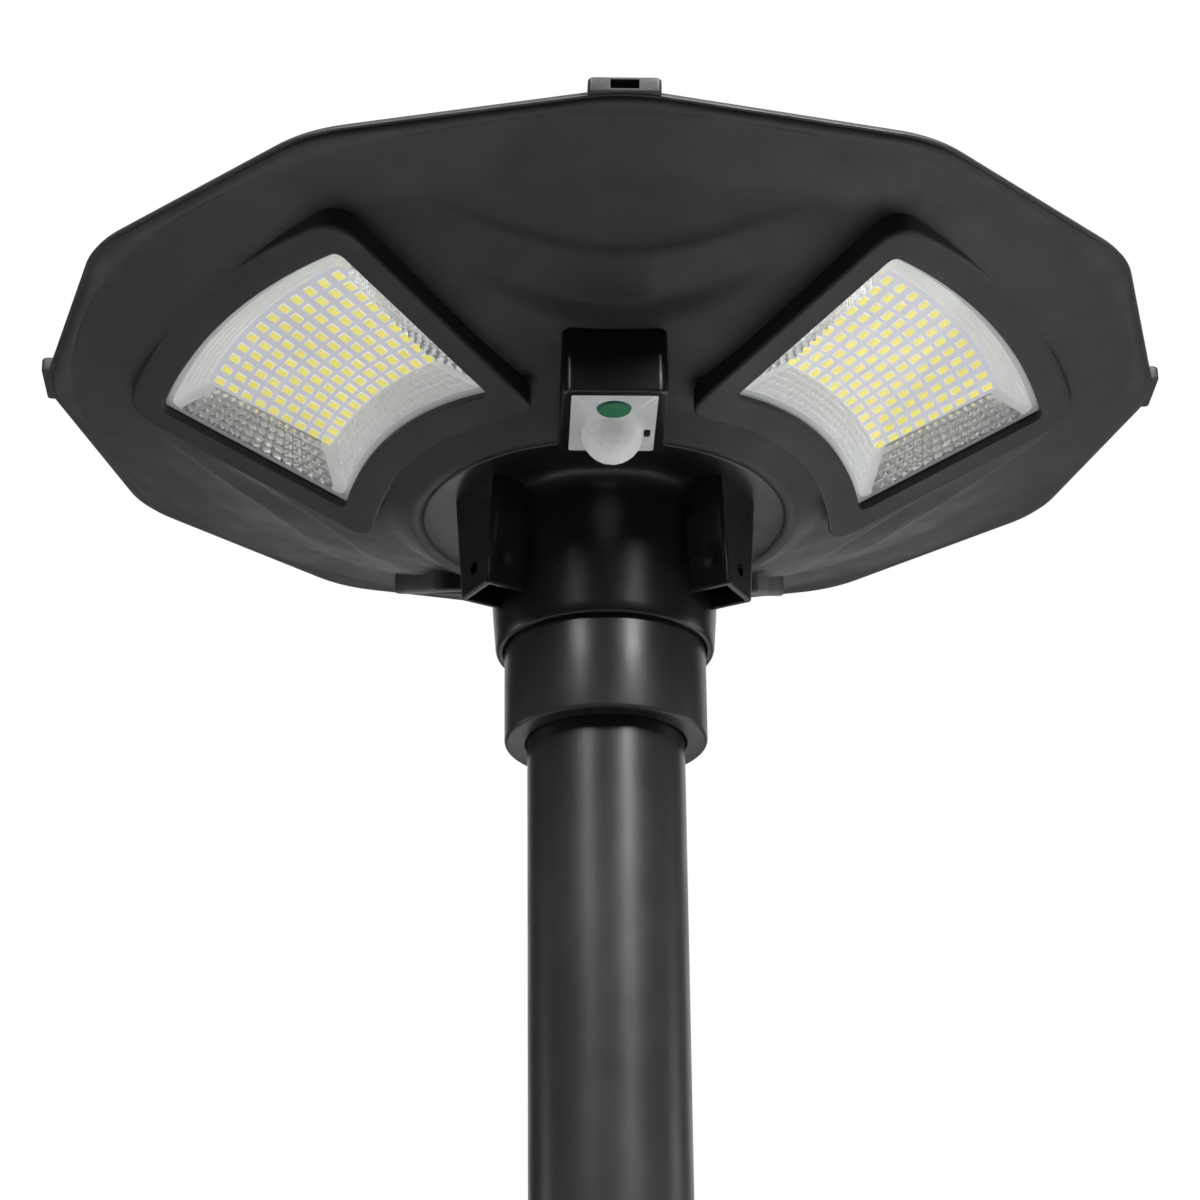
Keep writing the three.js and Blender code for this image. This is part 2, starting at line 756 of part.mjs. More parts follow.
function pirDome() {
  const arc = (radius, from, to) => {
    const steps = 5;
    return Array.from({ length: steps + 1 }, (_, i) => {
      const angle = from + ((to - from) * i) / steps;
      return [radius * Math.sin(angle), BOX_BOTTOM_Z - radius * Math.cos(angle)];
    });
  };
  const seat = BOX_INSIDE_Z + GAP;
  const profile = [
    ...arc(DOME_R, 0, Math.PI / 2),
    [DOME_R, seat],
    [DOME_FLANGE_R, seat],
    [DOME_FLANGE_R, seat + 1.4],
    [DOME_R - 1, seat + 1.4],
    ...arc(DOME_R - 1, Math.PI / 2, 0),
  ];
  return toFront(at(solid(turned(profile, 18)), DOME_U, 0, 0));
}

function pirSensor() {
  const can = join(disc(4.6, -79.8, -75.5, 16), disc(3, -76, SENSOR_BOARD_Z[0] - GAP, 12));
  return toFront(at(can, DOME_U, 0, 0));
}

function sensorBoard() {
  const ceiling = aboveUnderside(1);
  return cut(toFront(block(BOARD_U, [-20, 20], SENSOR_BOARD_Z)), ceiling);
}

function tactileSwitch() {
  const body = block([-3.1, 3.1], [-3.1, 3.1], [-73.2, SENSOR_BOARD_Z[0] - GAP]);
  const plunger = disc(1.7, SWITCH_TIP_Z, -73, 12);
  return toFront(at(join(body, plunger), BUTTON_U, 0, 0));
}

function powerButton() {
  const seat = BOX_INSIDE_Z + GAP;
  const stemTop = SWITCH_TIP_Z - BUTTON_TRAVEL - GAP;
  const cap = disc(BUTTON_R, BUTTON_FACE_Z, seat + 0.5, 28);
  const flange = disc(BUTTON_FLANGE_R, seat, seat + 1, 28);
  return toFront(at(join(cap, flange, disc(2, seat, stemTop, 12)), BUTTON_U, 0, 0));
}

// ---------------------------------------------------------------- battery and controller

const CELL_Z = TRAY_FLOOR_Z + BATTERY_WALL + GAP + CELL_R;
const TRAY_HALF_X = CELL_LENGTH / 2 + 4;
const TRAY_HALF_Y = (CELLS * CELL_PITCH) / 2 + BATTERY_WALL;
const BATTERY_RIM_Z = TRAY_FLOOR_Z + 24;
const CLAMP_PLATE_Z = CELL_Z + CELL_R + GAP;
const BOARD_POST_H = 10;
const CONTROLLER_Z = CLAMP_PLATE_Z + 1.5 + BOARD_POST_H + GAP;

function batteryTray() {
  const outer = block(
    [-TRAY_HALF_X, TRAY_HALF_X],
    [-TRAY_HALF_Y, TRAY_HALF_Y],
    [TRAY_FLOOR_Z, BATTERY_RIM_Z],
  );
  const x = TRAY_HALF_X - BATTERY_WALL;
  const y = TRAY_HALF_Y - BATTERY_WALL;
  return cut(outer, block([-x, x], [-y, y], [TRAY_FLOOR_Z + BATTERY_WALL, BATTERY_RIM_Z + 1]));
}

function batteryCell(i) {
  const half = CELL_LENGTH / 2;
  const body = join(disc(CELL_R, -half, half, 20), disc(5, half - 1, half + 1.4, 12));
  return body.rotate([0, 90, 0]).translate([0, (i - (CELLS - 1) / 2) * CELL_PITCH, CELL_Z]);
}

function batteryClamp() {
  const low = CLAMP_PLATE_Z;
  const y = TRAY_HALF_Y;
  const plate = block([-20, 20], [-y, y], [low, low + 1.5]);
  const leg = block([-20, 20], [y - BATTERY_WALL, y], [BATTERY_RIM_Z + GAP, low + 1]);
  const stud = disc(2.5, low + 1, low + 1.5 + BOARD_POST_H, 6);
  const studs = [-16, 16].flatMap((sx) => [-40, 40].map((sy) => at(stud, sx, sy, 0)));
  return join(plate, leg, leg.rotate([0, 0, 180]), ...studs);
}

function controllerBoard() {
  const top = CONTROLLER_Z + BOARD_T;
  const board = block([-32, 32], [-46, 46], [CONTROLLER_Z, top]);
  const coil = at(disc(8, top - 0.5, top + 7, 16), 18, 34, 0);
  const terminals = block([-30, -20], [-42, -22], [top - 0.5, top + 7]);
  const chip = block([2, 12], [-40, -30], [top - 0.5, top + 1.8]);
  const capacitor = at(disc(5, top - 0.5, top + 8, 16), -14, 36, 0);
  return join(board, coil, terminals, chip, capacitor);
}

// ---------------------------------------------------------------- wiring

function wire(points, radius = 1.6, steps = 10) {
  const section = new THREE.Shape().absarc(0, 0, radius, 0, 2 * Math.PI);
  const route = new THREE.CatmullRomCurve3(points.map((p) => new THREE.Vector3(...p)));
  const geometry = new THREE.ExtrudeGeometry(section, {
    extrudePath: route,
    steps,
    curveSegments: 3,
  });
  return solid(geometry);
}

// Height above the controller board, where each wire leaves it
const WIRE_START_Z = CONTROLLER_Z + BOARD_T + GAP;

function ledWire(i) {
  const sinkTop = TRAY_TOP_Z + BOARD_T + 2 * GAP + SINK_T + GAP;
  const s = -15;
  const r = WINDOW_R + s * Math.cos(WINDOW_TILT) - sinkTop * Math.sin(WINDOW_TILT);
  const z = WINDOW_Z + s * Math.sin(WINDOW_TILT) + sinkTop * Math.cos(WINDOW_TILT) + 1;
  const route = [
    [14, 0, WIRE_START_Z],
    [14.2, 0, WIRE_START_Z + 2],
    [20, 0, WIRE_START_Z + 6],
    [50, 0, -7],
    [r - 36, 0, -5],
    [r - 8, 0, -9],
    [r, 0, (z - 9) / 2],
    [r + 1, 0, z],
  ];
  return wire(route).rotate([0, 0, windowAzimuth(i)]);
}

function sensorWire() {
  return wire([
    [0, -36, WIRE_START_Z],
    [0, -36.3, WIRE_START_Z + 2],
    [0, -43, WIRE_START_Z + 6],
    [0, -76, -12],
    [0, -106, -30],
    [0, -118, -50],
    [0, -120, SENSOR_BOARD_Z[1] + 4],
    [0, -120, SENSOR_BOARD_Z[1] + GAP],
  ]);
}

function panelWire() {
  const top = LEDGE_TOP_Z - LAMINATE_T - GAP - 13 - GAP;
  return wire([
    [-8, 14, top],
    [-8, 14, (top + WIRE_START_Z) / 2],
    [-8, 14, WIRE_START_Z],
  ]);
}

function batteryWire() {
  const y = CELL_PITCH / 2;
  return wire([
    [26, y, CELL_Z + CELL_R + GAP],
    [26, y, CELL_Z + CELL_R + 6],
    [26, y, CONTROLLER_Z - GAP],
  ]);
}

// ---------------------------------------------------------------- assembly

const streetLamp = new THREE.Group();
const head = new THREE.Group();
head.position.set(0, 0, RIM_Z);
streetLamp.add(head);

function add(group, name, body, finish) {
  const mesh = new THREE.Mesh(geometryOf(body), finish);
  mesh.name = name;
  group.add(mesh);
}

add(streetLamp, "pole_tube", poleTube(), darkPaint);
add(streetLamp, "adapter_sleeve", adapterSleeve(), darkPaint);

add(head, "lower_housing", lowerHousing(), satinBlack);
add(head, "upper_cover", upperCover(), satinBlack);
COVER_SCREWS.forEach((place, i) => add(head, `cover_screw_${i + 1}`, coverScrew(place), steel));
add(head, "rim_seal", rimSeal(), rubber);
add(head, "pole_socket", poleSocket(), glossBlack);
SOCKET_BOLTS.forEach((place, i) => add(head, `socket_bolt_${i + 1}`, socketBolt(place), steel));

add(head, "solar_glass", solarGlass(), clear);
add(head, "solar_laminate", solarLaminate(), panelBlue);
add(head, "panel_junction_box", panelJunctionBox(), satinBlack);

for (let i = 0; i < WINDOWS; i += 1) {
  const place = ["right", "rear", "left"][i];
  add(head, `lens_${place}`, toWindow(lens(), i), clear);
  add(head, `lens_gasket_${place}`, toWindow(lensGasket(), i), rubber);
  add(head, `reflector_tray_${place}`, toWindow(reflectorTray(), i), reflectorWhite);
  add(head, `led_board_${place}`, toWindow(ledBoard(), i), boardWhite);
  add(head, `heat_sink_${place}`, toWindow(heatSink(), i), aluminium);
  add(head, `led_wire_${place}`, ledWire(i), wireRed);
  add(head, `clamp_screw_${place}`, clampScrew(i), steel);
}

add(head, "sensor_box", sensorBox(), glossBlack);
add(head, "label_plate", labelPlate(), silver);
add(head, "pir_dome", pirDome(), domeWhite);
add(head, "pir_sensor", pirSensor(), steel);
add(head, "sensor_board", sensorBoard(), boardGreen);
add(head, "tactile_switch", tactileSwitch(), glossBlack);
add(head, "power_button", powerButton(), buttonGreen);
add(head, "sensor_wire", sensorWire(), wireBlack);

add(head, "battery_tray", batteryTray(), satinBlack);
for (let i = 0; i < CELLS; i += 1) {
  add(head, `battery_cell_${i + 1}`, batteryCell(i), cellBlue);
}
add(head, "battery_clamp", batteryClamp(), aluminium);
add(head, "controller_board", controllerBoard(), boardGreen);
add(head, "battery_wire", batteryWire(), wireRed);
add(head, "panel_wire", panelWire(), wireBlack);

export default streetLamp;
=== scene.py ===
import json
import math

import bmesh
import bpy
import numpy as np
from mathutils import Matrix, Vector


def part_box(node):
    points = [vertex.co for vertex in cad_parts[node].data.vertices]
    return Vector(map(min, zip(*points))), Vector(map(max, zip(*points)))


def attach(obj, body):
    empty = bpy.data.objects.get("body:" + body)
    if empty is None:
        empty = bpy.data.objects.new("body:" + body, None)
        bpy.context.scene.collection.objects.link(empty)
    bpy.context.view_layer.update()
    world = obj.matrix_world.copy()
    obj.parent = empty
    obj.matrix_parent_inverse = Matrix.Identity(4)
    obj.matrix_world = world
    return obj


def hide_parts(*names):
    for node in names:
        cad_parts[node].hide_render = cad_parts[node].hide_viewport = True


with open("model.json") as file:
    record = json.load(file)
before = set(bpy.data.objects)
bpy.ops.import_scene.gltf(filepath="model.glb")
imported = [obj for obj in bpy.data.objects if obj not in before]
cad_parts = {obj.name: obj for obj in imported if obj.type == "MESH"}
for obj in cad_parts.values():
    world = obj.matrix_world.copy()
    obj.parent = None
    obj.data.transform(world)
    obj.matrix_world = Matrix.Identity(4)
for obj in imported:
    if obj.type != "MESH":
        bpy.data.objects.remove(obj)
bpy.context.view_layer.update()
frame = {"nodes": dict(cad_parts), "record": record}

MM = 0.001
# Heights below are in millimetres from the rim plane, like the part's own source.
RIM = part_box("upper_cover")[0].z / MM
FRONT = -90.0
WINDOW_SIDES = {"right": FRONT + 60, "rear": FRONT + 180, "left": FRONT + 300}
slots = {part["node"]: part["material_slot"] for part in frame["record"]["subparts"]}
scene = bpy.context.scene

RIM_R, CORNER_TRIM = 280.0, 18.0
SIDE_COS = math.cos(math.pi / 12)
SCREW_CIRCLE, BOLT_CIRCLE = 263.5, 80
# Distances from the pole axis along the front, and hole radii, in the sensor box
DOME_U, DOME_HOLE_R = 109, 14.8
BUTTON_U, BUTTON_HOLE_R = 134, 8.1
FLOOR_Z = -0.62

# ---------------------------------------------------------------- materials


class Finish:
    """A procedural material: a Principled shader with noise in its colour, roughness and bump."""

    def __init__(self, name):
        self.material = bpy.data.materials.new(name)
        self.material.use_nodes = True
        self.nodes = self.material.node_tree.nodes
        self.links = self.material.node_tree.links
        self.shader = self.nodes["Principled BSDF"]
        self.output = self.nodes["Material Output"]
        self.coord = self.nodes.new("ShaderNodeTexCoord").outputs["Object"]

    def link(self, a, b):
        self.links.new(a, b)

    def noise(self, scale, detail=4.0, stretch=None):
        node = self.nodes.new("ShaderNodeTexNoise")
        node.inputs["Scale"].default_value = scale
        node.inputs["Detail"].default_value = detail
        source = self.coord
        if stretch:
            mapping = self.nodes.new("ShaderNodeMapping")
            mapping.inputs["Scale"].default_value = stretch
            self.link(source, mapping.inputs["Vector"])
            source = mapping.outputs["Vector"]
        self.link(source, node.inputs["Vector"])
        return node.outputs["Fac"]

    def span(self, value, low, high, start=0.3, end=0.7):
        node = self.nodes.new("ShaderNodeMapRange")
        node.inputs["From Min"].default_value = start
        node.inputs["From Max"].default_value = end
        node.inputs["To Min"].default_value = low
        node.inputs["To Max"].default_value = high
        self.link(value, node.inputs["Value"])
        return node.outputs["Result"]

    def mix(self, factor, a, b):
        node = self.nodes.new("ShaderNodeMix")
        node.data_type = "RGBA"
        for socket, value in ((node.inputs[6], a), (node.inputs[7], b)):
            if isinstance(value, tuple):
                socket.default_value = (*value, 1.0)
            else:
                self.link(value, socket)
        self.link(factor, node.inputs[0])
        return node.outputs[2]

    def edges(self, radius):
        """1 along sharp edges, 0 on flat faces."""
        bevel = self.nodes.new("ShaderNodeBevel")
        bevel.samples = 4
        bevel.inputs["Radius"].default_value = radius
        geometry = self.nodes.new("ShaderNodeNewGeometry")
        dot = self.nodes.new("ShaderNodeVectorMath")
        dot.operation = "DOT_PRODUCT"
        self.link(bevel.outputs["Normal"], dot.inputs[0])
        self.link(geometry.outputs["Normal"], dot.inputs[1])
        return self.span(dot.outputs["Value"], 1.0, 0.0, 0.8, 0.99)

    def bump(self, height, distance, normal):
        node = self.nodes.new("ShaderNodeBump")
        node.inputs["Distance"].default_value = distance
        self.link(height, node.inputs["Height"])
        self.link(node.outputs["Normal"], normal)


def finish(
    name,
    colour,
    roughness,
    metallic=0.0,
    grain=900.0,
    depth=0.00004,
    tone=0.15,
    wear_and_edge_highlight=0.0,
    stretch=None,
    emission=0.0,
):
    """An opaque material. Lengths are metres; tone and the lightened-edge share are shares of the colour.
    The lightened sharp edges are partly rubbed wear and partly a painted highlight.
    """
    f = Finish(name)
    broad = f.noise(14.0)
    darker = tuple(c * (1 - tone) for c in colour)
    lighter = tuple(min(1.0, c * (1 + tone)) for c in colour)
    tint = f.mix(f.span(broad, 0.0, 1.0), darker, lighter)
    # Sharp edges are lightened: partly rubbed wear, partly a painted highlight along the edges.
    if wear_and_edge_highlight:
        worn_and_highlit = tuple(min(1.0, c * 1.6 + 0.02) for c in colour)
        tint = f.mix(f.span(f.edges(0.0012), 0.0, wear_and_edge_highlight, 0.0, 1.0), tint, worn_and_highlit)
    f.link(tint, f.shader.inputs["Base Color"])
    patches = f.noise(40.0, 6.0)
    f.link(f.span(patches, roughness * 0.88, roughness * 1.14), f.shader.inputs["Roughness"])
    f.shader.inputs["Metallic"].default_value = metallic
    f.bump(f.noise(grain, 3.0, stretch), depth, f.shader.inputs["Normal"])
    # Emission makes the surface glow: a lamp for the LED phosphor and LED bodies, painted light on parts
    # that are no lamp.
    if emission:
        f.link(tint, f.shader.inputs["Emission Color"])
        f.shader.inputs["Emission Strength"].default_value = emission
    return f.material


def clear(name, tint, roughness):
    """Clear plastic or glass: light passes straight through, with a Fresnel reflection."""
    f = Finish(name)
    f.nodes.remove(f.shader)
    through = f.nodes.new("ShaderNodeBsdfTransparent")
    cast = f.mix(f.span(f.noise(30.0), 0.0, 1.0), tuple(c * 0.98 for c in tint), tint)
    f.link(cast, through.inputs["Color"])
    glossy = f.nodes.new("ShaderNodeBsdfGlossy")
    f.link(f.span(f.noise(60.0), roughness * 0.8, roughness * 1.3), glossy.inputs["Roughness"])
    f.bump(f.noise(25.0, 2.0), 0.00001, glossy.inputs["Normal"])
    fresnel = f.nodes.new("ShaderNodeFresnel")
    fresnel.inputs["IOR"].default_value = 1.45
    # Only a face's front reflects, so nothing is mirrored inside the sheet
    side = f.nodes.new("ShaderNodeNewGeometry")
    front = f.nodes.new("ShaderNodeMath")
    front.operation = "SUBTRACT"
    front.inputs[0].default_value = 1.0
    f.link(side.outputs["Backfacing"], front.inputs[1])
    share = f.nodes.new("ShaderNodeMath")
    share.operation = "MULTIPLY"
    f.link(fresnel.outputs["Fac"], share.inputs[0])
    f.link(front.outputs["Value"], share.inputs[1])
    blend = f.nodes.new("ShaderNodeMixShader")
    f.link(share.outputs["Value"], blend.inputs["Fac"])
    f.link(through.outputs["BSDF"], blend.inputs[1])
    f.link(glossy.outputs["BSDF"], blend.inputs[2])
    f.link(blend.outputs["Shader"], f.output.inputs["Surface"])
    return f.material


MATERIALS = {
    "housing_abs": finish("housing_abs", (0.022, 0.022, 0.0235), 0.54, wear_and_edge_highlight=0.22, depth=0.00003),
    "socket_abs": finish("socket_abs", (0.006, 0.006, 0.0085), 0.30, wear_and_edge_highlight=0.35, depth=0.00002),
    "pole_paint": finish("pole_paint", (0.03, 0.03, 0.032), 0.32, 0.35, wear_and_edge_highlight=0.3, grain=1400.0),
    "seal_rubber": finish("seal_rubber", (0.012, 0.012, 0.012), 0.8, grain=1600.0, depth=0.00006),
    "inner_plastic": finish("inner_plastic", (0.05, 0.05, 0.053), 0.55, wear_and_edge_highlight=0.1),
    "label_silver": finish(
        "label_silver", (0.88, 0.88, 0.90), 0.40, 0.15, grain=260.0, depth=0.00001,
        tone=0.06, wear_and_edge_highlight=0.3, stretch=(1.0, 30.0, 1.0),
    ),
    # The dome's glow is painted light: a PIR dome gives no light of its own.
    "dome_white": finish("dome_white", (0.86, 0.86, 0.85), 0.3, tone=0.02, emission=0.16),
    "fastener_steel": finish("fastener_steel", (0.55, 0.55, 0.56), 0.3, 1.0, wear_and_edge_highlight=0.3),
    "board_green": finish("board_green", (0.02, 0.14, 0.06), 0.42, wear_and_edge_highlight=0.15),
    "button_green": finish(
        "button_green", (0.0, 0.20, 0.075), 0.38, tone=0.08, wear_and_edge_highlight=0.12
    ),
    "wire_black": finish("wire_black", (0.014, 0.014, 0.014), 0.5),
    "wire_red": finish("wire_red", (0.38, 0.02, 0.015), 0.5),
    "cell_wrap": finish("cell_wrap", (0.03, 0.16, 0.40), 0.35, wear_and_edge_highlight=0.1),
    "plain_aluminium": finish(
        "plain_aluminium", (0.72, 0.72, 0.73), 0.36, 1.0, grain=300.0, stretch=(1.0, 24.0, 1.0)
    ),
    # The reflector's glow is painted light, standing in for the LEDs' light falling on it.
    "reflector_white": finish(
        "reflector_white", (0.86, 0.86, 0.84), 0.22, tone=0.03, emission=0.20
    ),
    # The board's glow is painted light, standing in for the LEDs' light falling on it.
    "led_board": finish("led_board", (0.62, 0.61, 0.66), 0.4, tone=0.03, emission=0.45),
    "solar_cells": finish("solar_cells", (0.006, 0.008, 0.016), 0.34, wear_and_edge_highlight=0.1),
    "clear_lens": clear("clear_lens", (0.975, 0.985, 0.99), 0.05),
    "panel_glass": clear("panel_glass", (0.95, 0.97, 0.98), 0.06),
}
# The lattice's faint glow is painted light; the facets give no light of their own.
LATTICE = finish(
    "reflector_lattice", (0.86, 0.85, 0.84), 0.26, 0.85, tone=0.05, depth=0.00001, emission=0.05
)
PHOSPHOR = finish(
    "led_phosphor", (0.93, 0.80, 0.17), 0.35, tone=0.04, depth=0.00001, emission=0.52
)
LED_BODY = finish("led_body", (0.90, 0.88, 0.78), 0.4, tone=0.03, emission=0.45)
WAFER = finish("wafer", (0.012, 0.018, 0.045), 0.22, 0.2, tone=0.3, depth=0.00001)
BUSBAR = finish("busbar", (0.55, 0.56, 0.58), 0.3, 0.9, tone=0.1)

# ---------------------------------------------------------------- mesh helpers


def smooth_sharp(obj, degrees=35.0):
    obj.data.shade_smooth()
    obj.data.set_sharp_from_angle(angle=math.radians(degrees))


def add_mesh(name, points, faces):
    """A mesh object from points in millimetres, counted from the rim plane."""
    place = (np.asarray(points, float) + (0.0, 0.0, RIM)) * MM
    mesh = bpy.data.meshes.new(name)
    mesh.from_pydata(place.tolist(), [], [list(map(int, f)) for f in faces])
    mesh.update()
    obj = bpy.data.objects.new(name, mesh)
    scene.collection.objects.link(obj)
    return obj


def piece(name, points, faces, slot, replaces, body="head", sharp=35.0):
    """A visible piece, in its slot's material, on its body and in place of its CAD node."""
    obj = add_mesh(name, points, faces)
    obj.data.materials.append(MATERIALS[slot])
    smooth_sharp(obj, sharp)
    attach(obj, body)
    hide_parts(replaces)
    return obj


def colour_by_kind(obj, kinds, *materials):
    """Each face's kind picks its material: 0 is the slot's own, then these in order."""
    for material in materials:
        obj.data.materials.append(material)
    obj.data.polygons.foreach_set("material_index", np.array(kinds, dtype=np.int32))


def grid_faces(rows, columns, close_rows=False, close_columns=True):
    """Quads between consecutive rows of points."""
    faces = []
    for i in range(rows if close_rows else rows - 1):
        a = i * columns
        b = ((i + 1) % rows) * columns
        for j in range(columns if close_columns else columns - 1):
            k = (j + 1) % columns
            faces.append((a + j, a + k, b + k, b + j))
    return faces


def ring_loft(rings, close=False, caps=False):
    """Points and faces through rings of the same length; rings turn anticlockwise seen from above."""
    rows, columns = len(rings), len(rings[0])
    points = np.concatenate(rings)
    faces = grid_faces(rows, columns, close_rows=close)
    if caps:
        low = rings[0].mean(0)
        high = rings[-1].mean(0)
        points = np.vstack([points, low, high])
        a, b = rows * columns, rows * columns + 1
        last = (rows - 1) * columns
        for j in range(columns):
            k = (j + 1) % columns
            faces.append((k, j, a))
            faces.append((last + j, last + k, b))
    return points, faces


def circle(r, z, angle, centre=(0.0, 0.0)):
    """Points round a vertical axis; r and z may vary with the angle."""
    x, y = centre[0] + r * np.cos(angle), centre[1] + r * np.sin(angle)
    return np.column_stack([x, y, np.broadcast_to(z, angle.shape)])


def lathe(profile, segments, centre=(0.0, 0.0)):
    """A closed profile of radius and height turned round a vertical axis."""
    angle = np.linspace(0, 2 * math.pi, segments, endpoint=False)
    return ring_loft([circle(r, z, angle, centre) for r, z in profile], close=True)


def arc(cx, cz, radius, start, end, steps=6):
    """Points on a circular arc in a profile, angles in degrees."""
    return [
        (
            cx + radius * math.cos(math.radians(start + (end - start) * i / steps)),
            cz + radius * math.sin(math.radians(start + (end - start) * i / steps)),
        )
        for i in range(steps + 1)
    ]


def turned(points, degrees):
    """Points turned round the pole axis."""
    c, s = math.cos(math.radians(degrees)), math.sin(math.radians(degrees))
    p = np.asarray(points, float)
    return np.column_stack([p[:, 0] * c - p[:, 1] * s, p[:, 0] * s + p[:, 1] * c, p[:, 2]])


def cut_out(obj, cutters):
    """Removes the cutters' solids from a piece, then removes the cutters."""
    for cutter in cutters:
        mod = obj.modifiers.new("cut", "BOOLEAN")
        mod.operation = "DIFFERENCE"
        mod.solver = "EXACT"
        mod.object = cutter
        with bpy.context.temp_override(object=obj, active_object=obj, selected_objects=[obj]):
            bpy.ops.object.modifier_apply(modifier=mod.name)
        bpy.data.objects.remove(cutter)
    smooth_sharp(obj)


def tool(points, faces):
    """A temporary solid for cut_out."""
    return add_mesh("tool", points, faces)


def round_tool(r, low, high, centre, segments):
    """A vertical round cutter; its axis is a needle hole, so the profile closes."""
    return tool(*lathe([(0.01, low), (r, low), (r, high), (0.01, high)], segments, centre))


def block_tool(plan, low, high, azimuth):
    """A vertical cutter with the given plan, turned round the pole axis."""
    points, faces = ring_loft(block_rings(plan, [(0, low), (0, high)]), caps=True)
    return tool(turned(points, azimuth), faces)


def rounded_plan(u, v, corners, steps=6):
    """A rectangle with rounded corners, anticlockwise; corners from (low u, low v) onwards."""
    places = [(u[0], v[0]), (u[1], v[0]), (u[1], v[1]), (u[0], v[1])]
    signs = [(1, 1), (-1, 1), (-1, -1), (1, -1)]
    points = []
    for i, ((x, y), (sx, sy), r) in enumerate(zip(places, signs, corners)):
        for k in range(steps + 1):
            angle = math.radians(180 + 90 * i + 90 * k / steps)
            points.append((x + sx * r + r * math.cos(angle), y + sy * r + r * math.sin(angle)))
    return np.array(points)


def block_rings(plan, levels):
    """Rings of a plan at heights; each level is (inset towards the middle, height)."""
    middle = (plan.min(0) + plan.max(0)) / 2
    half = (plan.max(0) - plan.min(0)) / 2
    rings = []
    for inset, z in levels:
        scale = (half - inset) / half
        flat = middle + (plan - middle) * scale
        rings.append(np.column_stack([flat, np.full(len(flat), float(z))]))
    return rings


def rod_tool(radius, start, end, z, azimuth, segments=32):
    """A horizontal round cutter pointing outwards from the pole axis."""
    angle = np.linspace(0, 2 * math.pi, segments, endpoint=False)
    rings = [
        np.column_stack(
            [np.full(segments, u), radius * np.cos(angle), z + radius * np.sin(angle)]
        )
        for u in (start, end)
    ]
    points, faces = ring_loft(rings, caps=True)
    return tool(turned(points, azimuth), faces)


# ---------------------------------------------------------------- the twelve-sided rim

COLUMNS = 480
AZIMUTH = np.linspace(0, 2 * math.pi, COLUMNS, endpoint=False) + math.radians(FRONT)


def rim_factor(azimuth):
    """Radius of the rounded twelve-sided outline at each azimuth, for a circumradius of 1."""
    half = math.pi / 12
    trim = CORNER_TRIM / RIM_R
    away = np.abs((azimuth - math.radians(FRONT) + half) % (2 * half) - half)
    straight = math.cos(half) / np.cos(half - away)
    corner = np.array([0.0, -1.0])
    direction = np.array([math.cos(half), math.sin(half)])
    start = corner + direction * trim
    end = corner + direction * (-1, 1) * trim
    k = np.linspace(0, 1, 81)[:, None]
    curve = (1 - k) ** 2 * end + 2 * k * (1 - k) * corner + k**2 * start
    angle = np.arctan2(curve[:, 0], -curve[:, 1])
    order = np.argsort(angle)
    radius = np.interp(away, angle[order], np.hypot(curve[:, 0], curve[:, 1])[order])
    return np.where(away < angle.max(), radius, straight)


RIM_SHAPE = rim_factor(AZIMUTH)


def rim_ring(circumradius, z):
    return circle(circumradius * RIM_SHAPE, z, AZIMUTH)


# ---------------------------------------------------------------- the dish

WINDOW_SLOPE = 0.43
TILT = math.atan(WINDOW_SLOPE)
WINDOW_R, WINDOW_Z = 160.0, -38.4
WINDOW = {"inner": 119.5, "inner_arc": 200, "outer": 209.5, "outer_arc": 395, "v": 83.2, "slope": 0.225}
BOARD = {"inner": 135.8, "inner_arc": 255, "outer": 197, "outer_arc": 350, "v": 60.1, "slope": 0.268}
BEZEL_W, BEZEL_PROUD = 15.4, 2.5
# Along each recess's middle line: the step behind the sensor box, the fold, the fan's outer arc
STEP_U, FOLD_U, FAN_R = 152, 188, 228

UNDERSIDE = [
    (263, 0), (257, -1.5), (228, -9), (204, -20.5), (183, -30.6), (165, -39.2),
    (153, -45), (123, -56.5), (108, -62.5), (98, -69.5), (94, -72),
]


def smoothed_profile():
    """The underside's heights every half millimetre, with its bends softened."""
    r = np.arange(90.0, 268.0, 0.5)
    table = sorted(UNDERSIDE)
    z = np.interp(r, [p[0] for p in table], [p[1] for p in table])
    z = np.where(r < 94, -72.0, z)
    kernel = np.exp(-0.5 * (np.arange(-12, 13) * 0.5 / 2.2) ** 2)
    kernel /= kernel.sum()
    padded = np.pad(z, 12, mode="edge")
    return r, np.convolve(padded, kernel, mode="valid")


PROFILE_R, PROFILE_Z = smoothed_profile()


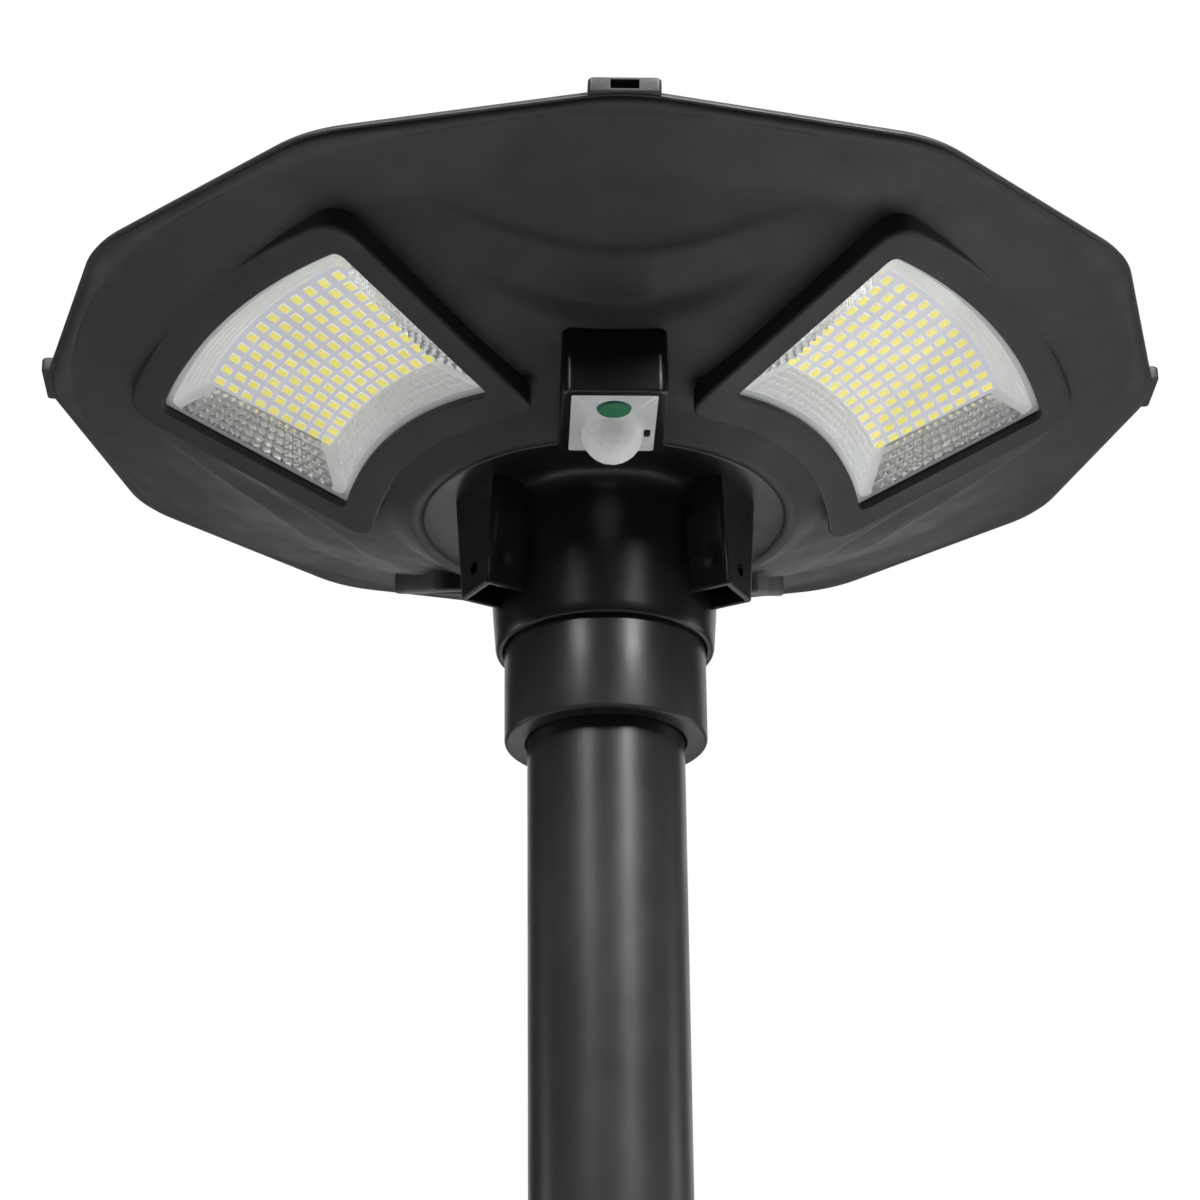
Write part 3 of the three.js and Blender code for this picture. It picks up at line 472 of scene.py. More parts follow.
def dish_height(x, y):
    """Height of the housing's underside, with the recess between each pair of windows."""
    r = np.hypot(x, y)
    z = np.interp(r, PROFILE_R, PROFILE_Z)
    pitch = 2 * math.pi / 3
    turn = np.arctan2(y, x) - math.radians(FRONT)
    local = turn - pitch * np.round(turn / pitch)
    u = r * np.cos(local)
    v = r * np.sin(local)
    # A fan outside the fold, a flatter band inside it, and a steep lip at the step
    fold = FOLD_U + np.hypot(8, 0.3 * v) - 8
    step = STEP_U + 0.0042 * v * v
    reach = np.sqrt(np.maximum(FAN_R**2 - v * v, 0.0))
    out = np.clip((u - fold) / np.maximum(reach - fold, 1.0), 0, 1)
    fan = np.interp(out, [0, 0.09, 0.2, 0.4, 0.68, 1], [0, 1.5, 1.9, 1.7, 1.0, 0])
    fan *= np.clip((reach - fold) / 40, 0, 1)
    back = np.clip((fold - u) / np.maximum(fold - step, 1.0), 0, 1)
    band = np.interp(
        back, [0, 0.05, 0.22, 0.66, 0.76, 0.86, 0.94, 1], [0, 0, 0.9, 4.1, 4.2, 2.4, 0.7, 0]
    )
    band *= np.interp(np.abs(v), [0, 22, 46, 70], [1.0, 1.0, 0.55, 0.0])
    z = z + np.where((u > step) & (r < FAN_R), np.where(u > fold, fan, band), 0.0)
    # The dish is eased up where a bezel would lie level with it
    local = turn - math.pi / 3 - pitch * np.round((turn - math.pi / 3) / pitch)
    u = r * np.cos(local)
    v = r * np.sin(local)
    radius = WINDOW["inner_arc"] - BEZEL_W
    edge = WINDOW["inner"] - BEZEL_W - radius + np.sqrt(np.maximum(radius**2 - v * v, 0.0))
    face = WINDOW_Z + WINDOW_SLOPE * (u - WINDOW_R) - BEZEL_PROUD / math.cos(TILT)
    away = edge - u
    eased = face + 1.5 - 0.30 * np.maximum(away, 0.0) + 1.5 * np.maximum(-away, 0.0)
    near = (away > -14) & (away < 14) & (np.abs(v) < 86)
    return np.where(near, np.maximum(z, eased), z)


# ---------------------------------------------------------------- windows

ARC_STEPS, SIDE_STEPS, BEND_STEPS = 96, 112, 9


def outline(edges, offset, corner=5.0):
    """A window outline seen along the lamp's axis, as (u, v), anticlockwise from the outer edge."""
    lean = math.atan(edges["slope"])
    arcs = (
        (edges["inner"] - offset, edges["inner_arc"] - offset),
        (edges["outer"] + offset, edges["outer_arc"] + offset),
    )

    def side_v(u):
        return edges["v"] + offset / math.cos(lean) + edges["slope"] * (u - WINDOW_R)

    def arc_u(peak_radius, v):
        peak, radius = peak_radius
        return peak - radius + np.sqrt(radius * radius - v * v)

    def meet(peak_radius):
        u = peak_radius[0]
        for _ in range(14):
            u = float(arc_u(peak_radius, side_v(u)))
        return u, side_v(u)

    near, far = meet(arcs[0]), meet(arcs[1])
    du, dv = corner * math.cos(lean), corner * math.sin(lean)
    v = np.linspace(-(far[1] - corner), far[1] - corner, ARC_STEPS + 1)
    outer = np.column_stack([arc_u(arcs[1], v), v])
    v = np.linspace(near[1] - corner, -(near[1] - corner), ARC_STEPS + 1)
    inner = np.column_stack([arc_u(arcs[0], v), v])
    side_far = np.array([far[0] - du, far[1] - dv])
    side_near = np.array([near[0] + du, near[1] + dv])
    flip = np.array([1.0, -1.0])

    def bend(a, c, b):
        k = (np.arange(1, BEND_STEPS) / BEND_STEPS)[:, None]
        return (1 - k) ** 2 * a + 2 * k * (1 - k) * np.array(c) + k**2 * b

    def straight(a, b):
        k = np.linspace(0, 1, SIDE_STEPS + 1)[:, None]
        return a * (1 - k) + b * k

    return np.vstack(
        [
            outer,
            bend(outer[-1], far, side_far),
            straight(side_far, side_near),
            bend(side_near, near, inner[0]),
            inner,
            bend(inner[-1], np.array(near) * flip, side_near * flip),
            straight(side_near * flip, side_far * flip),
            bend(side_far * flip, np.array(far) * flip, outer[0]),
        ]
    )


def in_window(plan, depth):
    """Head coordinates (before turning) of an outline in the window's tilted plane at a depth."""
    s = (plan[:, 0] - WINDOW_R) / math.cos(TILT)
    w = np.broadcast_to(depth, s.shape)
    return np.column_stack(
        [
            WINDOW_R + s * math.cos(TILT) - w * math.sin(TILT),
            plan[:, 1],
            WINDOW_Z + s * math.sin(TILT) + w * math.cos(TILT),
        ]
    )


def upright(plan, depth):
    """An outline kept where it is along the lamp's axis, lifted to the tilted plane at a depth."""
    s = (plan[:, 0] - WINDOW_R + depth * math.sin(TILT)) / math.cos(TILT)
    z = WINDOW_Z + s * math.sin(TILT) + depth * math.cos(TILT)
    return np.column_stack([plan, z])


def corner_at(offset):
    return 5.0 + 9.0 * max(0.0, offset - 6.0) / (BEZEL_W - 6.0)


def bezel(side, azimuth):
    edge, inner_edge = 2.3, 0.9
    rings = []
    foot = outline(WINDOW, BEZEL_W, corner_at(BEZEL_W))
    face = upright(foot, -BEZEL_PROUD)
    around = turned(face, azimuth)
    height = dish_height(around[:, 0], around[:, 1]) - face[:, 2]
    flare = np.clip((height - 3) / 5, 0, 1)
    # The wall, from inside the dish down to the rounded edge of the face
    for drop, out in ((2.6, 1.3), (1.0, 1.3), (0.0, 0.85), (-0.8, 0.42), (-1.8, 0.15), (-3.2, 0.0)):
        grown = outline(WINDOW, BEZEL_W + out, corner_at(BEZEL_W + out))
        plan = foot + (grown - foot) * flare[:, None]
        z = face[:, 2] + np.maximum(edge + 0.05 * (3.2 + drop), height + drop)
        rings.append(np.column_stack([plan, z]))
    for k in range(7):
        angle = math.radians(15 * k)
        offset = BEZEL_W - edge * (1 - math.cos(angle))
        plan = outline(WINDOW, offset, corner_at(offset))
        flat = upright(plan, -BEZEL_PROUD)
        flat[:, 2] += edge * (1 - math.sin(angle))
        rings.append(flat)
    for offset in (BEZEL_W - 5, BEZEL_W - 9, inner_edge):
        plan = outline(WINDOW, offset, corner_at(offset))
        rings.append(in_window(plan, -BEZEL_PROUD))
    for k in range(1, 6):
        angle = math.radians(18 * k)
        offset = inner_edge * (1 - math.sin(angle))
        depth = -BEZEL_PROUD + inner_edge * (1 - math.cos(angle))
        rings.append(in_window(outline(WINDOW, offset), depth))
    rings.append(in_window(outline(WINDOW, 0.0), 1.2))
    rings.append(in_window(outline(WINDOW, 6.0), 1.2))
    rings.append(in_window(outline(WINDOW, 6.0), 7.0))
    rings = [turned(ring, azimuth) for ring in rings]
    # A back ring follows the dish, so the section stays above the rim's underside
    back = rings[0].copy()
    back[:, 2] = np.minimum(np.maximum(back[:, 2], rings[-1][:, 2]), -0.6)
    rings[0] = np.where(back[:, 2:3] > rings[0][:, 2:3], back, rings[0])
    rings = rings[::-1]
    points, faces = ring_loft(rings, close=True)
    piece("bezel_" + side, points, faces, "housing_abs", "lower_housing")


def lens(side, azimuth):
    """A clear pane with a flange under the bezel; each level is (outline offset, depth)."""
    outer, edge = -0.4, 0.7
    levels = [(outer - 1.8, 2.0), (outer - 1.8, 4.7), (5.2, 4.7), (5.2, 2.7), (outer, 2.7), (outer, edge)]
    for k in range(1, 5):
        angle = math.radians(22.5 * k)
        levels.append((outer - edge * (1 - math.cos(angle)), edge * (1 - math.sin(angle))))
    rings = [turned(in_window(outline(WINDOW, at), depth), azimuth) for at, depth in levels]
    points, faces = ring_loft(rings, caps=True)
    faces = [f[::-1] for f in faces]
    piece("lens_pane_" + side, points, faces, "clear_lens", "lens_" + side)


def outline_share():
    """Which run each outline point belongs to: outer, side, inner, side; and its place along it."""
    kinds, places = [], []
    runs = (
        ("outer", ARC_STEPS + 1), ("bend", BEND_STEPS - 1), ("side", SIDE_STEPS + 1),
        ("bend", BEND_STEPS - 1), ("inner", ARC_STEPS + 1), ("bend", BEND_STEPS - 1),
        ("side", SIDE_STEPS + 1), ("bend", BEND_STEPS - 1),
    )
    for kind, count in runs:
        kinds += [kind] * count
        places += list(np.linspace(0, 1, count))
    return np.array(kinds), np.array(places)


KINDS, PLACES = outline_share()
REFLECTOR_ROWS, FRONT_DEPTH, BACK_DEPTH = 41, 2.6, 11.2
# Facets along and down a side wall, and down the inner wall
SIDE_TILES, TILE_ROWS, INNER_RIBS = 14, 5, 24


def pyramid(along, down):
    """1 at the middle of each tile and 0 on its border, for places counted in tiles."""
    return 1 - np.maximum(np.abs(2 * (along % 1) - 1), abs(2 * (down % 1) - 1))


def reflector(side, azimuth):
    """The tray behind the lens: facets on its side walls, ribs and steps on the other two."""
    front = outline(WINDOW, -2.5)
    back = outline(BOARD, 0.4)
    # Both outlines have the same runs of points, so the wall between them is a plain grid
    rings = []
    toward = back - front
    toward = toward / np.linalg.norm(toward, axis=1)[:, None]
    for i in range(REFLECTOR_ROWS):
        k = i / (REFLECTOR_ROWS - 1)
        plan = front + (back - front) * k
        depth = FRONT_DEPTH + (BACK_DEPTH - FRONT_DEPTH) * k
        fade = min(1.0, 12 * k, 12 * (1 - k))
        tile = pyramid(PLACES * SIDE_TILES, k * TILE_ROWS)
        ribs = pyramid(PLACES * INNER_RIBS, k * TILE_ROWS)
        steps = 0.25 * (1 + math.sin(k * TILE_ROWS * 2 * math.pi))
        bulge = np.where(KINDS == "side", 3.2 * tile, 0.0)
        bulge += np.where(KINDS == "inner", 1.5 * ribs, 0.0)
        bulge += np.where(KINDS == "outer", steps, 0.0)
        plan = plan + toward * (bulge * fade * 0.35)[:, None]
        rings.append(in_window(plan, depth - bulge * fade * 0.75))
    rings.append(in_window(outline(BOARD, 3.8), BACK_DEPTH))
    for offset, depth in ((4.0, 6.3), (4.0, 5.1), (-2.6, 5.1), (-2.6, FRONT_DEPTH)):
        rings.append(in_window(outline(WINDOW, offset), depth))
    rings = [turned(ring, azimuth) for ring in rings]
    points, faces = ring_loft(rings, close=True)
    node = "reflector_tray_" + side
    tray = piece("reflector_" + side, points, faces, "reflector_white", node, sharp=22.0)
    kinds = np.zeros(len(faces), dtype=np.int32)
    wall = np.tile(KINDS == "side", REFLECTOR_ROWS - 1)
    kinds[: len(wall)] = wall
    colour_by_kind(tray, kinds, LATTICE)


LED_ARCS, LEDS_PER_ARC = 9, 12
# The first and last arc of LEDs: distance from the pole axis, radius, half width
FIRST_ARC, LAST_ARC = (138, 255, 50.5), (192.5, 345, 61.5)
# An LED's body and its phosphor: half sizes, depths behind the face, kind
LED_BLOCKS = ((2.3, 2.5, 11.62, 10.9, 1), (2.05, 2.25, 10.92, 10.72, 2))


def led_board(side, azimuth):
    plan = outline(BOARD, 4.0)
    rings = [
        in_window(outline(BOARD, 3.7), 13.2),
        in_window(plan, 12.9),
        in_window(plan, 11.9),
        in_window(outline(BOARD, 3.7), 11.6),
    ]
    points, faces = ring_loft([turned(r, azimuth) for r in rings], caps=True)
    faces = [f[::-1] for f in faces]
    points = points.tolist()
    kinds = [0] * len(faces)
    for i in range(LED_ARCS):
        k = i / (LED_ARCS - 1)
        peak, radius, reach = (a + (b - a) * k for a, b in zip(FIRST_ARC, LAST_ARC))
        for j in range(LEDS_PER_ARC):
            v = -reach + 2 * reach * j / (LEDS_PER_ARC - 1)
            u = peak - radius + math.sqrt(radius * radius - v * v)
            lean = math.asin(v / radius)
            for block in LED_BLOCKS:
                corners = led_corners(block, u, v, lean)
                placed = turned(in_window(corners[:, :2], corners[:, 2]), azimuth)
                block_faces = led_faces(len(points))
                points += placed.tolist()
                faces += block_faces
                kinds += [block[-1]] * len(block_faces)
    board = piece("led_array_" + side, points, faces, "led_board", "led_board_" + side, sharp=30.0)
    colour_by_kind(board, kinds, LED_BODY, PHOSPHOR)


def led_corners(block, u, v, lean):
    """Three levels of four corners, as (u, v, depth), of a block that leans with its arc."""
    half_u, half_v, low, high, _ = block
    corners = []
    for inset, depth in ((0.0, low), (0.0, high + 0.1), (0.12, high)):
        for su, sv in ((-1, -1), (1, -1), (1, 1), (-1, 1)):
            a, b = su * (half_u - inset), sv * (half_v - inset)
            x = u + a * math.cos(lean) - b * math.sin(lean)
            y = v + a * math.sin(lean) + b * math.cos(lean)
            corners.append((x, y, depth))
    return np.array(corners)


def led_faces(first):
    """The faces of a block whose twelve corners start at this point."""
    faces = []
    for level in (first, first + 4):
        for c in range(4):
            d = (c + 1) % 4
            faces.append((level + d, level + c, level + 4 + c, level + 4 + d))
    faces.append((first, first + 1, first + 2, first + 3))
    faces.append((first + 11, first + 10, first + 9, first + 8))
    return faces


for window_side, window_azimuth in WINDOW_SIDES.items():
    bezel(window_side, window_azimuth)
    lens(window_side, window_azimuth)
    reflector(window_side, window_azimuth)
    led_board(window_side, window_azimuth)

# ---------------------------------------------------------------- lower housing


def inside_polygon(points, polygon):
    """Whether each point lies inside a closed polygon."""
    x, y = points[:, 0:1], points[:, 1:2]
    x0, y0 = polygon[:, 0], polygon[:, 1]
    x1, y1 = np.roll(x0, -1), np.roll(y0, -1)
    crosses = (y0 > y) != (y1 > y)
    with np.errstate(divide="ignore", invalid="ignore"):
        at = x0 + (y - y0) * (x1 - x0) / (y1 - y0)
    return (crosses & (x < at)).sum(1) % 2 == 1


def housing():
    """The dish as one sheet with openings for the windows and the sensor, then given its wall."""
    radii = np.concatenate([np.arange(96.5, 256.0, 1.75), np.arange(256.0, 263.1, 1.0)])
    hub = [(38, -67.7), (60, -67.7), (88, -67.7), (90.4, -67.9), (90.8, -68.6), (90.8, -70.4)]
    hub += [(91.2, -71.4), (92.2, -72.0), (93.6, -72.1), (95.0, -71.6)]
    rings = [circle(r, z, AZIMUTH) for r, z in hub]
    for r in radii:
        height = dish_height(r * np.cos(AZIMUTH), r * np.sin(AZIMUTH))
        rings.append(circle(r, height, AZIMUTH))
    last = rings[-1].copy()
    last[:, 2] = 0.0
    edge = rim_ring(275.4, 0.0)
    rings += [last * (1 - k) + edge * k for k in (0.12, 0.4, 0.7, 1.0)]
    rings += [rim_ring(r, z) for r, z in ((276.0, 0.12), (276.35, 0.5), (276.4, 1.0), (276.4, 2.9))]
    points, faces = ring_loft(rings)
    faces = [f[::-1] for f in faces]
    middle = points[np.array(faces)].mean(1)
    keep = np.ones(len(faces), bool)
    for azimuth in WINDOW_SIDES.values():
        plan = outline(WINDOW, BEZEL_W - 3.4, corner_at(BEZEL_W - 3.4))
        local = turned(middle, -azimuth)[:, :2]
        near = (np.abs(local[:, 1]) < 130) & (local[:, 0] > 70)
        hit = np.zeros(len(faces), bool)
        hit[near] = inside_polygon(local[near], plan)
        keep &= ~hit
    x, y = middle[:, 0], middle[:, 1]
    keep &= ~((np.abs(x) < 12) & (y > -144) & (y < -106))
    faces = [f for f, k in zip(faces, keep) if k]
    shell = piece("housing_shell", points, faces, "housing_abs", "lower_housing", sharp=50.0)
    # Loose points left inside the openings go, and the sheet gets its wall
    bm = bmesh.new()
    bm.from_mesh(shell.data)
    bmesh.ops.delete(bm, geom=[v for v in bm.verts if not v.link_faces], context="VERTS")
    bm.to_mesh(shell.data)
    bm.free()
    thick = shell.modifiers.new("wall", "SOLIDIFY")
    thick.thickness = 2.2 * MM
    thick.offset = -1


housing()

# ---------------------------------------------------------------- upper cover, its lugs and screws


def cover():
    """A frame whose section is given as (distance in from the rim's flats, height)."""
    slope = 11 / 23.5
    section = [
        (3.0, 3.6), (3.0, 0.5), (2.7, 0.12), (2.3, 0.0), (0.7, 0.0), (0.25, 0.12), (0.0, 0.45),
        (0.0, 0.9), (0.25, 1.25), (1.0, 1.0 + slope),
    ]
    section += [(d, 1.0 + slope * d) for d in (4, 8, 12, 16, 20)]
    section += [(22.8, 1.0 + slope * 22.8), (23.4, 11.9), (23.9, 12.0), (24.6, 12.0)]
    section += [(24.95, 11.85), (25.1, 11.5), (25.1, 8.6), (33.6, 8.6), (33.8, 8.4), (33.8, 5.6)]
    section += [(25.1, 5.6), (25.1, 3.9), (3.4, 3.6)]
    points, faces = ring_loft([rim_ring(RIM_R - d / SIDE_COS, z) for d, z in section], close=True)
    body = piece("cover_shell", points, faces, "housing_abs", "upper_cover", sharp=40.0)
    cut_out(body, [round_tool(3.9, 6.4, 16, place, 32) for place in spots(SCREW_CIRCLE, 6, 30)])


def spots(radius, count, first):
    """Places spread evenly on a circle, from an angle counted from the front."""
    bearings = [math.radians(FRONT + first + 360 // count * k) for k in range(count)]
    return [(radius * math.cos(b), radius * math.sin(b)) for b in bearings]


def lug(index, azimuth):
    plan = rounded_plan((262, 279.6), (-16, 16), (0.5, 2.2, 2.2, 0.5))
    levels = [(0.6, 0.6), (0.15, 0.75), (0.0, 1.2), (0.0, 5.6)]
    edge = 1.6
    for degrees in (0, 22, 45, 68, 90):
        angle = math.radians(degrees)
        levels.append((edge * (1 - math.cos(angle)), 6.4 + edge * math.sin(angle)))
    points, faces = ring_loft(block_rings(plan, levels), caps=True)
    name = f"cover_lug_{index}"
    body = piece(name, turned(points, azimuth), faces, "housing_abs", "upper_cover", sharp=40.0)
    hole = rounded_plan((272.6, 290), (-6.3, 6.3), (0.6, 0.6, 0.6, 0.6), 3)
    cut_out(body, [block_tool(hole, 1.8, 6.4, azimuth)])


def cross_tool(centre, z, reach, width, depth):
    """Two crossing slots as one cutter outline for a screw head."""
    w, r = width / 2, reach
    plan = [
        (r, -w), (r, w), (w, w), (w, r), (-w, r), (-w, w), (-r, w), (-r, -w), (-w, -w), (-w, -r),
        (w, -r), (w, -w),
    ]
    low = [(centre[0] + x * 0.45, centre[1] + y * 0.45, z - depth) for x, y in plan]
    high = [(centre[0] + x, centre[1] + y, z + 1) for x, y in plan]
    count = len(plan)
    faces = [(i, (i + 1) % count, count + (i + 1) % count, count + i) for i in range(count)]
    faces += [tuple(range(count))[::-1], tuple(range(count, 2 * count))]
    return tool(low + high, faces)


def screw(name, centre, shank, low, seat, head, top, slot):
    profile = [(0.01, low), (shank * 0.7, low), (shank, low + 0.8), (shank, seat), (head - 0.2, seat)]
    profile += [(head, seat + 0.25), (head, seat + 0.8), (head * 0.86, top - 0.3)]
    profile += [(head * 0.5, top), (0.01, top)]
    points, faces = lathe(profile, 32, centre)
    obj = piece(name + "_detail", points, faces, slot, name, sharp=40.0)
    cut_out(obj, [cross_tool(centre, top, head * 0.62, head * 0.2, 1.1)])


cover()
for lug_index, lug_azimuth in enumerate((0, 90, 180, 270)):
    lug(lug_index + 1, lug_azimuth)
for k, place in enumerate(spots(SCREW_CIRCLE, 6, 30)):
    screw(f"cover_screw_{k + 1}", place, 1.5, 0.4, 6.9, 3.4, 8.9, slots["cover_screw_1"])
for k, place in enumerate(spots(BOLT_CIRCLE, 3, 0)):
    screw(f"socket_bolt_{k + 1}", place, 2.2, -71.9, -64.4, 4.4, -61.6, slots["socket_bolt_1"])

# ---------------------------------------------------------------- solar panel


def panel():
    glass_r, laminate_r = 253.6, 244.6
    levels = ((0.5, 8.9), (0, 9.3), (0, 11.4), (0.15, 11.75), (0.5, 11.9))
    points, faces = ring_loft([rim_ring(glass_r - inset, z) for inset, z in levels], caps=True)
    piece("panel_glass", points, faces, "panel_glass", "solar_glass", sharp=30.0)
    points, faces = ring_loft([rim_ring(laminate_r, 7.6), rim_ring(laminate_r, 8.45)], caps=True)
    points = points.tolist()
    kinds = [0] * len(faces)
    pitch, gap, busbars, busbar_half = 62.0, 1.6, 5, 0.45
    limit = 238.0 * SIDE_COS
    for i in range(-4, 4):
        for j in range(-4, 4):
            x0, y0 = i * pitch + gap / 2, j * pitch + gap / 2
            x1, y1 = x0 + pitch - gap, y0 + pitch - gap
            corner_r = max(math.hypot(x, y) for x in (x0, x1) for y in (y0, y1))
            if corner_r > limit:
                continue
            add_tile(points, faces, kinds, (x0, x1), (y0, y1), 8.45, 8.6, 1, 5.0)
            for b in range(busbars):
                x = x0 + (x1 - x0) * (b + 0.5) / busbars
                across, along = (x - busbar_half, x + busbar_half), (y0 + 0.6, y1 - 0.6)
                add_tile(points, faces, kinds, across, along, 8.6, 8.68, 2, 0.1)
    sheet = piece("panel_cells", points, faces, "solar_cells", "solar_laminate", sharp=30.0)
    colour_by_kind(sheet, kinds, WAFER, BUSBAR)


def add_tile(points, faces, kinds, x, y, low, high, kind, corner):
    """A thin tile with cut corners, added to a list of points and faces."""
    (x0, x1), (y0, y1) = x, y
    plan = [
        (x0 + corner, y0), (x1 - corner, y0), (x1, y0 + corner), (x1, y1 - corner),
        (x1 - corner, y1), (x0 + corner, y1), (x0, y1 - corner), (x0, y0 + corner),
    ]
    first = len(points)
    count = len(plan)
    points += [[px, py, low] for px, py in plan] + [[px, py, high] for px, py in plan]
    faces.append(tuple(first + i for i in range(count))[::-1])
    faces.append(tuple(first + count + i for i in range(count)))
    kinds += [kind, kind]
    for i in range(count):
        n = (i + 1) % count
        faces.append((first + i, first + n, first + count + n, first + count + i))
        kinds.append(kind)


panel()

# ---------------------------------------------------------------- pole, sleeve and socket


def pole_parts():
    low, high = -RIM, -79.0
    tube = [(35, low + 0.6), (35.6, low), (37.2, low), (38, low + 0.8), (38, high - 0.8), (37.2, high)]
    tube += [(35.6, high), (35, high - 0.6)]
    points, faces = lathe(tube, 128)
    piece("pole_body", points, faces, "pole_paint", "pole_tube", body="pole")
    low, high = -192.0, -75.0
    sleeve = [(38.4, low + 1), (39.4, low), (47.4, low)]
    sleeve += arc(47.4, low + 1.6, 1.6, -90, 0, 5)[1:]
    sleeve += [(49, high - 1), (48.4, high), (38.8, high), (38.4, high - 0.4)]
    points, faces = lathe(sleeve, 128)
    piece("sleeve_body", points, faces, slots["adapter_sleeve"], "adapter_sleeve", body="pole")


def socket_body():
    profile = [(49.4, -67.9), (49.4, -144.2), (49.8, -144.8)]
    profile += [(50.6, -145.0), (51.6, -145.0), (52.4, -144.7), (52.9, -144.1), (53.3, -143.0)]
    profile += [(53.6, -139), (54.4, -128), (55.4, -113), (56.4, -98), (57.2, -84)]
    profile += [(57.6, -81.4), (58.3, -79), (59.4, -76.9), (61, -75.2), (63.2, -74.1), (66, -73.6)]
    profile += [(70, -73.5), (80, -73.5), (88.4, -73.5), (89.2, -73.3), (89.8, -72.8), (90, -72.1)]
    profile += [(90, -68.3), (89.7, -68.0), (60, -68.0), (50.0, -68.0)]
    points, faces = lathe(profile[::-1], 144)
    piece("socket_shell", points, faces, "socket_abs", "pole_socket", sharp=40.0)
    # The ceiling ring over the sleeve is part of the same moulding
    ceiling = [(30.2, -74.2), (49.9, -74.2), (49.9, -68.1), (30.2, -68.1), (30, -68.4), (30, -73.9)]
    points, faces = lathe(ceiling, 96)
    piece("socket_ceiling", points, faces, "socket_abs", "pole_socket")


def gusset(index, azimuth):
    """A hollow box, open at the socket, with a hole to the clamp screw in its outer face."""
    rows = 40
    z_low, z_high = -128.0, -73.2
    root_r, outer_u, wall, corner = 52.0, 74.0, 3.0, 2.2
    low_half, high_half, taper_height = 13, 19.5, 55.5

    def half(z):
        return low_half + (high_half - low_half) * (z - z_low) / taper_height

    def section(z, inset, round_r):
        """Plan of the gusset: out along one side, across the face, back along the other."""
        h = half(z) - inset
        u = outer_u - inset
        start = math.sqrt(root_r**2 - h * h)
        out = [(start + (u - round_r - start) * k / 14, -h) for k in range(15)]
        out += arc(u - round_r, -h + round_r, round_r, -90, 0, 5)[1:]
        out += [(u, -h + round_r + (h - round_r) * 2 * k / 22) for k in range(1, 22)]
        back = [(x, -y) for x, y in out[:20]]
        return np.array(out + back[::-1])

    rings = []
    for i in range(rows):
        z = z_high + (z_low + 0.8 - z_high) * i / (rows - 1)
        plan = section(z, 0.0, corner)
        # A shallow sink mark on each side wall, opposite the clamp screw
        mark = np.exp(-(((plan[:, 0] - 66) / 3.4) ** 2 + ((z + 113) / 4.2) ** 2))
        side = np.abs(plan[:, 1]) > half(z) - 0.5
        plan[:, 1] -= np.sign(plan[:, 1]) * np.where(side, 1.0 * mark, 0.0)
        rings.append(np.column_stack([plan, np.full(len(plan), z)]))
    for inset, z in ((0.25, z_low + 0.25), (0.8, z_low), (wall - 0.6, z_low), (wall, z_low + 0.5)):
        plan = section(z_low, inset, max(0.4, corner - inset))
        rings.append(np.column_stack([plan, np.full(len(plan), z)]))
    for z in (-120.0, -105.0, -90.0, -77.5):
        plan = section(z, wall, 0.5)
        rings.append(np.column_stack([plan, np.full(len(plan), z)]))
    columns = len(rings[0])
    points = np.concatenate(rings)
    faces = grid_faces(len(rings), columns, close_columns=False)
    faces = [f[::-1] for f in faces]
    last = (len(rings) - 1) * columns
    faces.append(tuple(range(last, last + columns))[::-1])
    faces.append(tuple(range(columns)))
    # The ends that stand inside the socket's wall
    ends = [r * columns for r in range(len(rings))]
    faces.append(tuple(ends)[::-1])
    faces.append(tuple(e + columns - 1 for e in ends))
    body = piece(f"gusset_{index}", turned(points, azimuth), faces, "socket_abs", "pole_socket")
    bm = bmesh.new()
    bm.from_mesh(body.data)
    bmesh.ops.recalc_face_normals(bm, faces=bm.faces)
    bm.to_mesh(body.data)
    bm.free()
    cut_out(body, [rod_tool(3.3, 68, 80, -116, azimuth)])


pole_parts()
socket_body()
for gusset_index, gusset_azimuth in enumerate(WINDOW_SIDES.values()):
    gusset(gusset_index + 1, gusset_azimuth)

# ---------------------------------------------------------------- sensor box


def to_front(points):
    return turned(points, FRONT)


def sensor_holes():
    """Cutters for the dome's and the button's openings."""
    holes = ((DOME_U, DOME_HOLE_R), (BUTTON_U, BUTTON_HOLE_R))
    return [round_tool(r, -90, -70, (0.0, -u), 64) for u, r in holes]


def sensor_box():
    floor_z, wall_z, edge = -79.5, -77.3, 1.3
    plan = rounded_plan((89.0, 152.5), (-24.5, 24.5), (0.8, 5.0, 5.0, 0.8), 8)
    inner_plan = rounded_plan((91.2, 150.3), (-22.3, 22.3), (0.5, 3.0, 3.0, 0.5), 8)

    def top(flat):
        xy = to_front(np.column_stack([flat, np.zeros(len(flat))]))
        z = dish_height(xy[:, 0], xy[:, 1]) + 1.2
        r = np.hypot(flat[:, 0], flat[:, 1])
        return np.where(r < 92.4, -73.9, z)

    inner_high = np.maximum(top(inner_plan), -77.0)
    rings = [
        np.column_stack([inner_plan, wall_z + (inner_high - wall_z) * k]) for k in (0.0, 0.5, 1.0)
    ]
    bottom = floor_z + edge
    high = np.maximum(top(plan), -78.0)
    for k in (1.0, 0.75, 0.5, 0.25, 0.0):
        rings.append(np.column_stack([plan, bottom + (high - bottom) * k]))
    rounding = arc(0.0, bottom, edge, 0, -90, 5)[1:]
    rings += block_rings(plan, [(edge - x, z) for x, z in rounding])
    points, faces = ring_loft(rings, caps=True)
    faces = [f[::-1] for f in faces]
    slot = slots["sensor_box"]
    body = piece("sensor_housing", to_front(points), faces, slot, "sensor_box", sharp=40.0)
    pocket = rounded_plan((90.3, 147.8), (-20.3, 20.3), (1.6, 1.6, 1.6, 1.6), 4)
    cut_out(body, [block_tool(pocket, -82, -78.3, FRONT)] + sensor_holes())


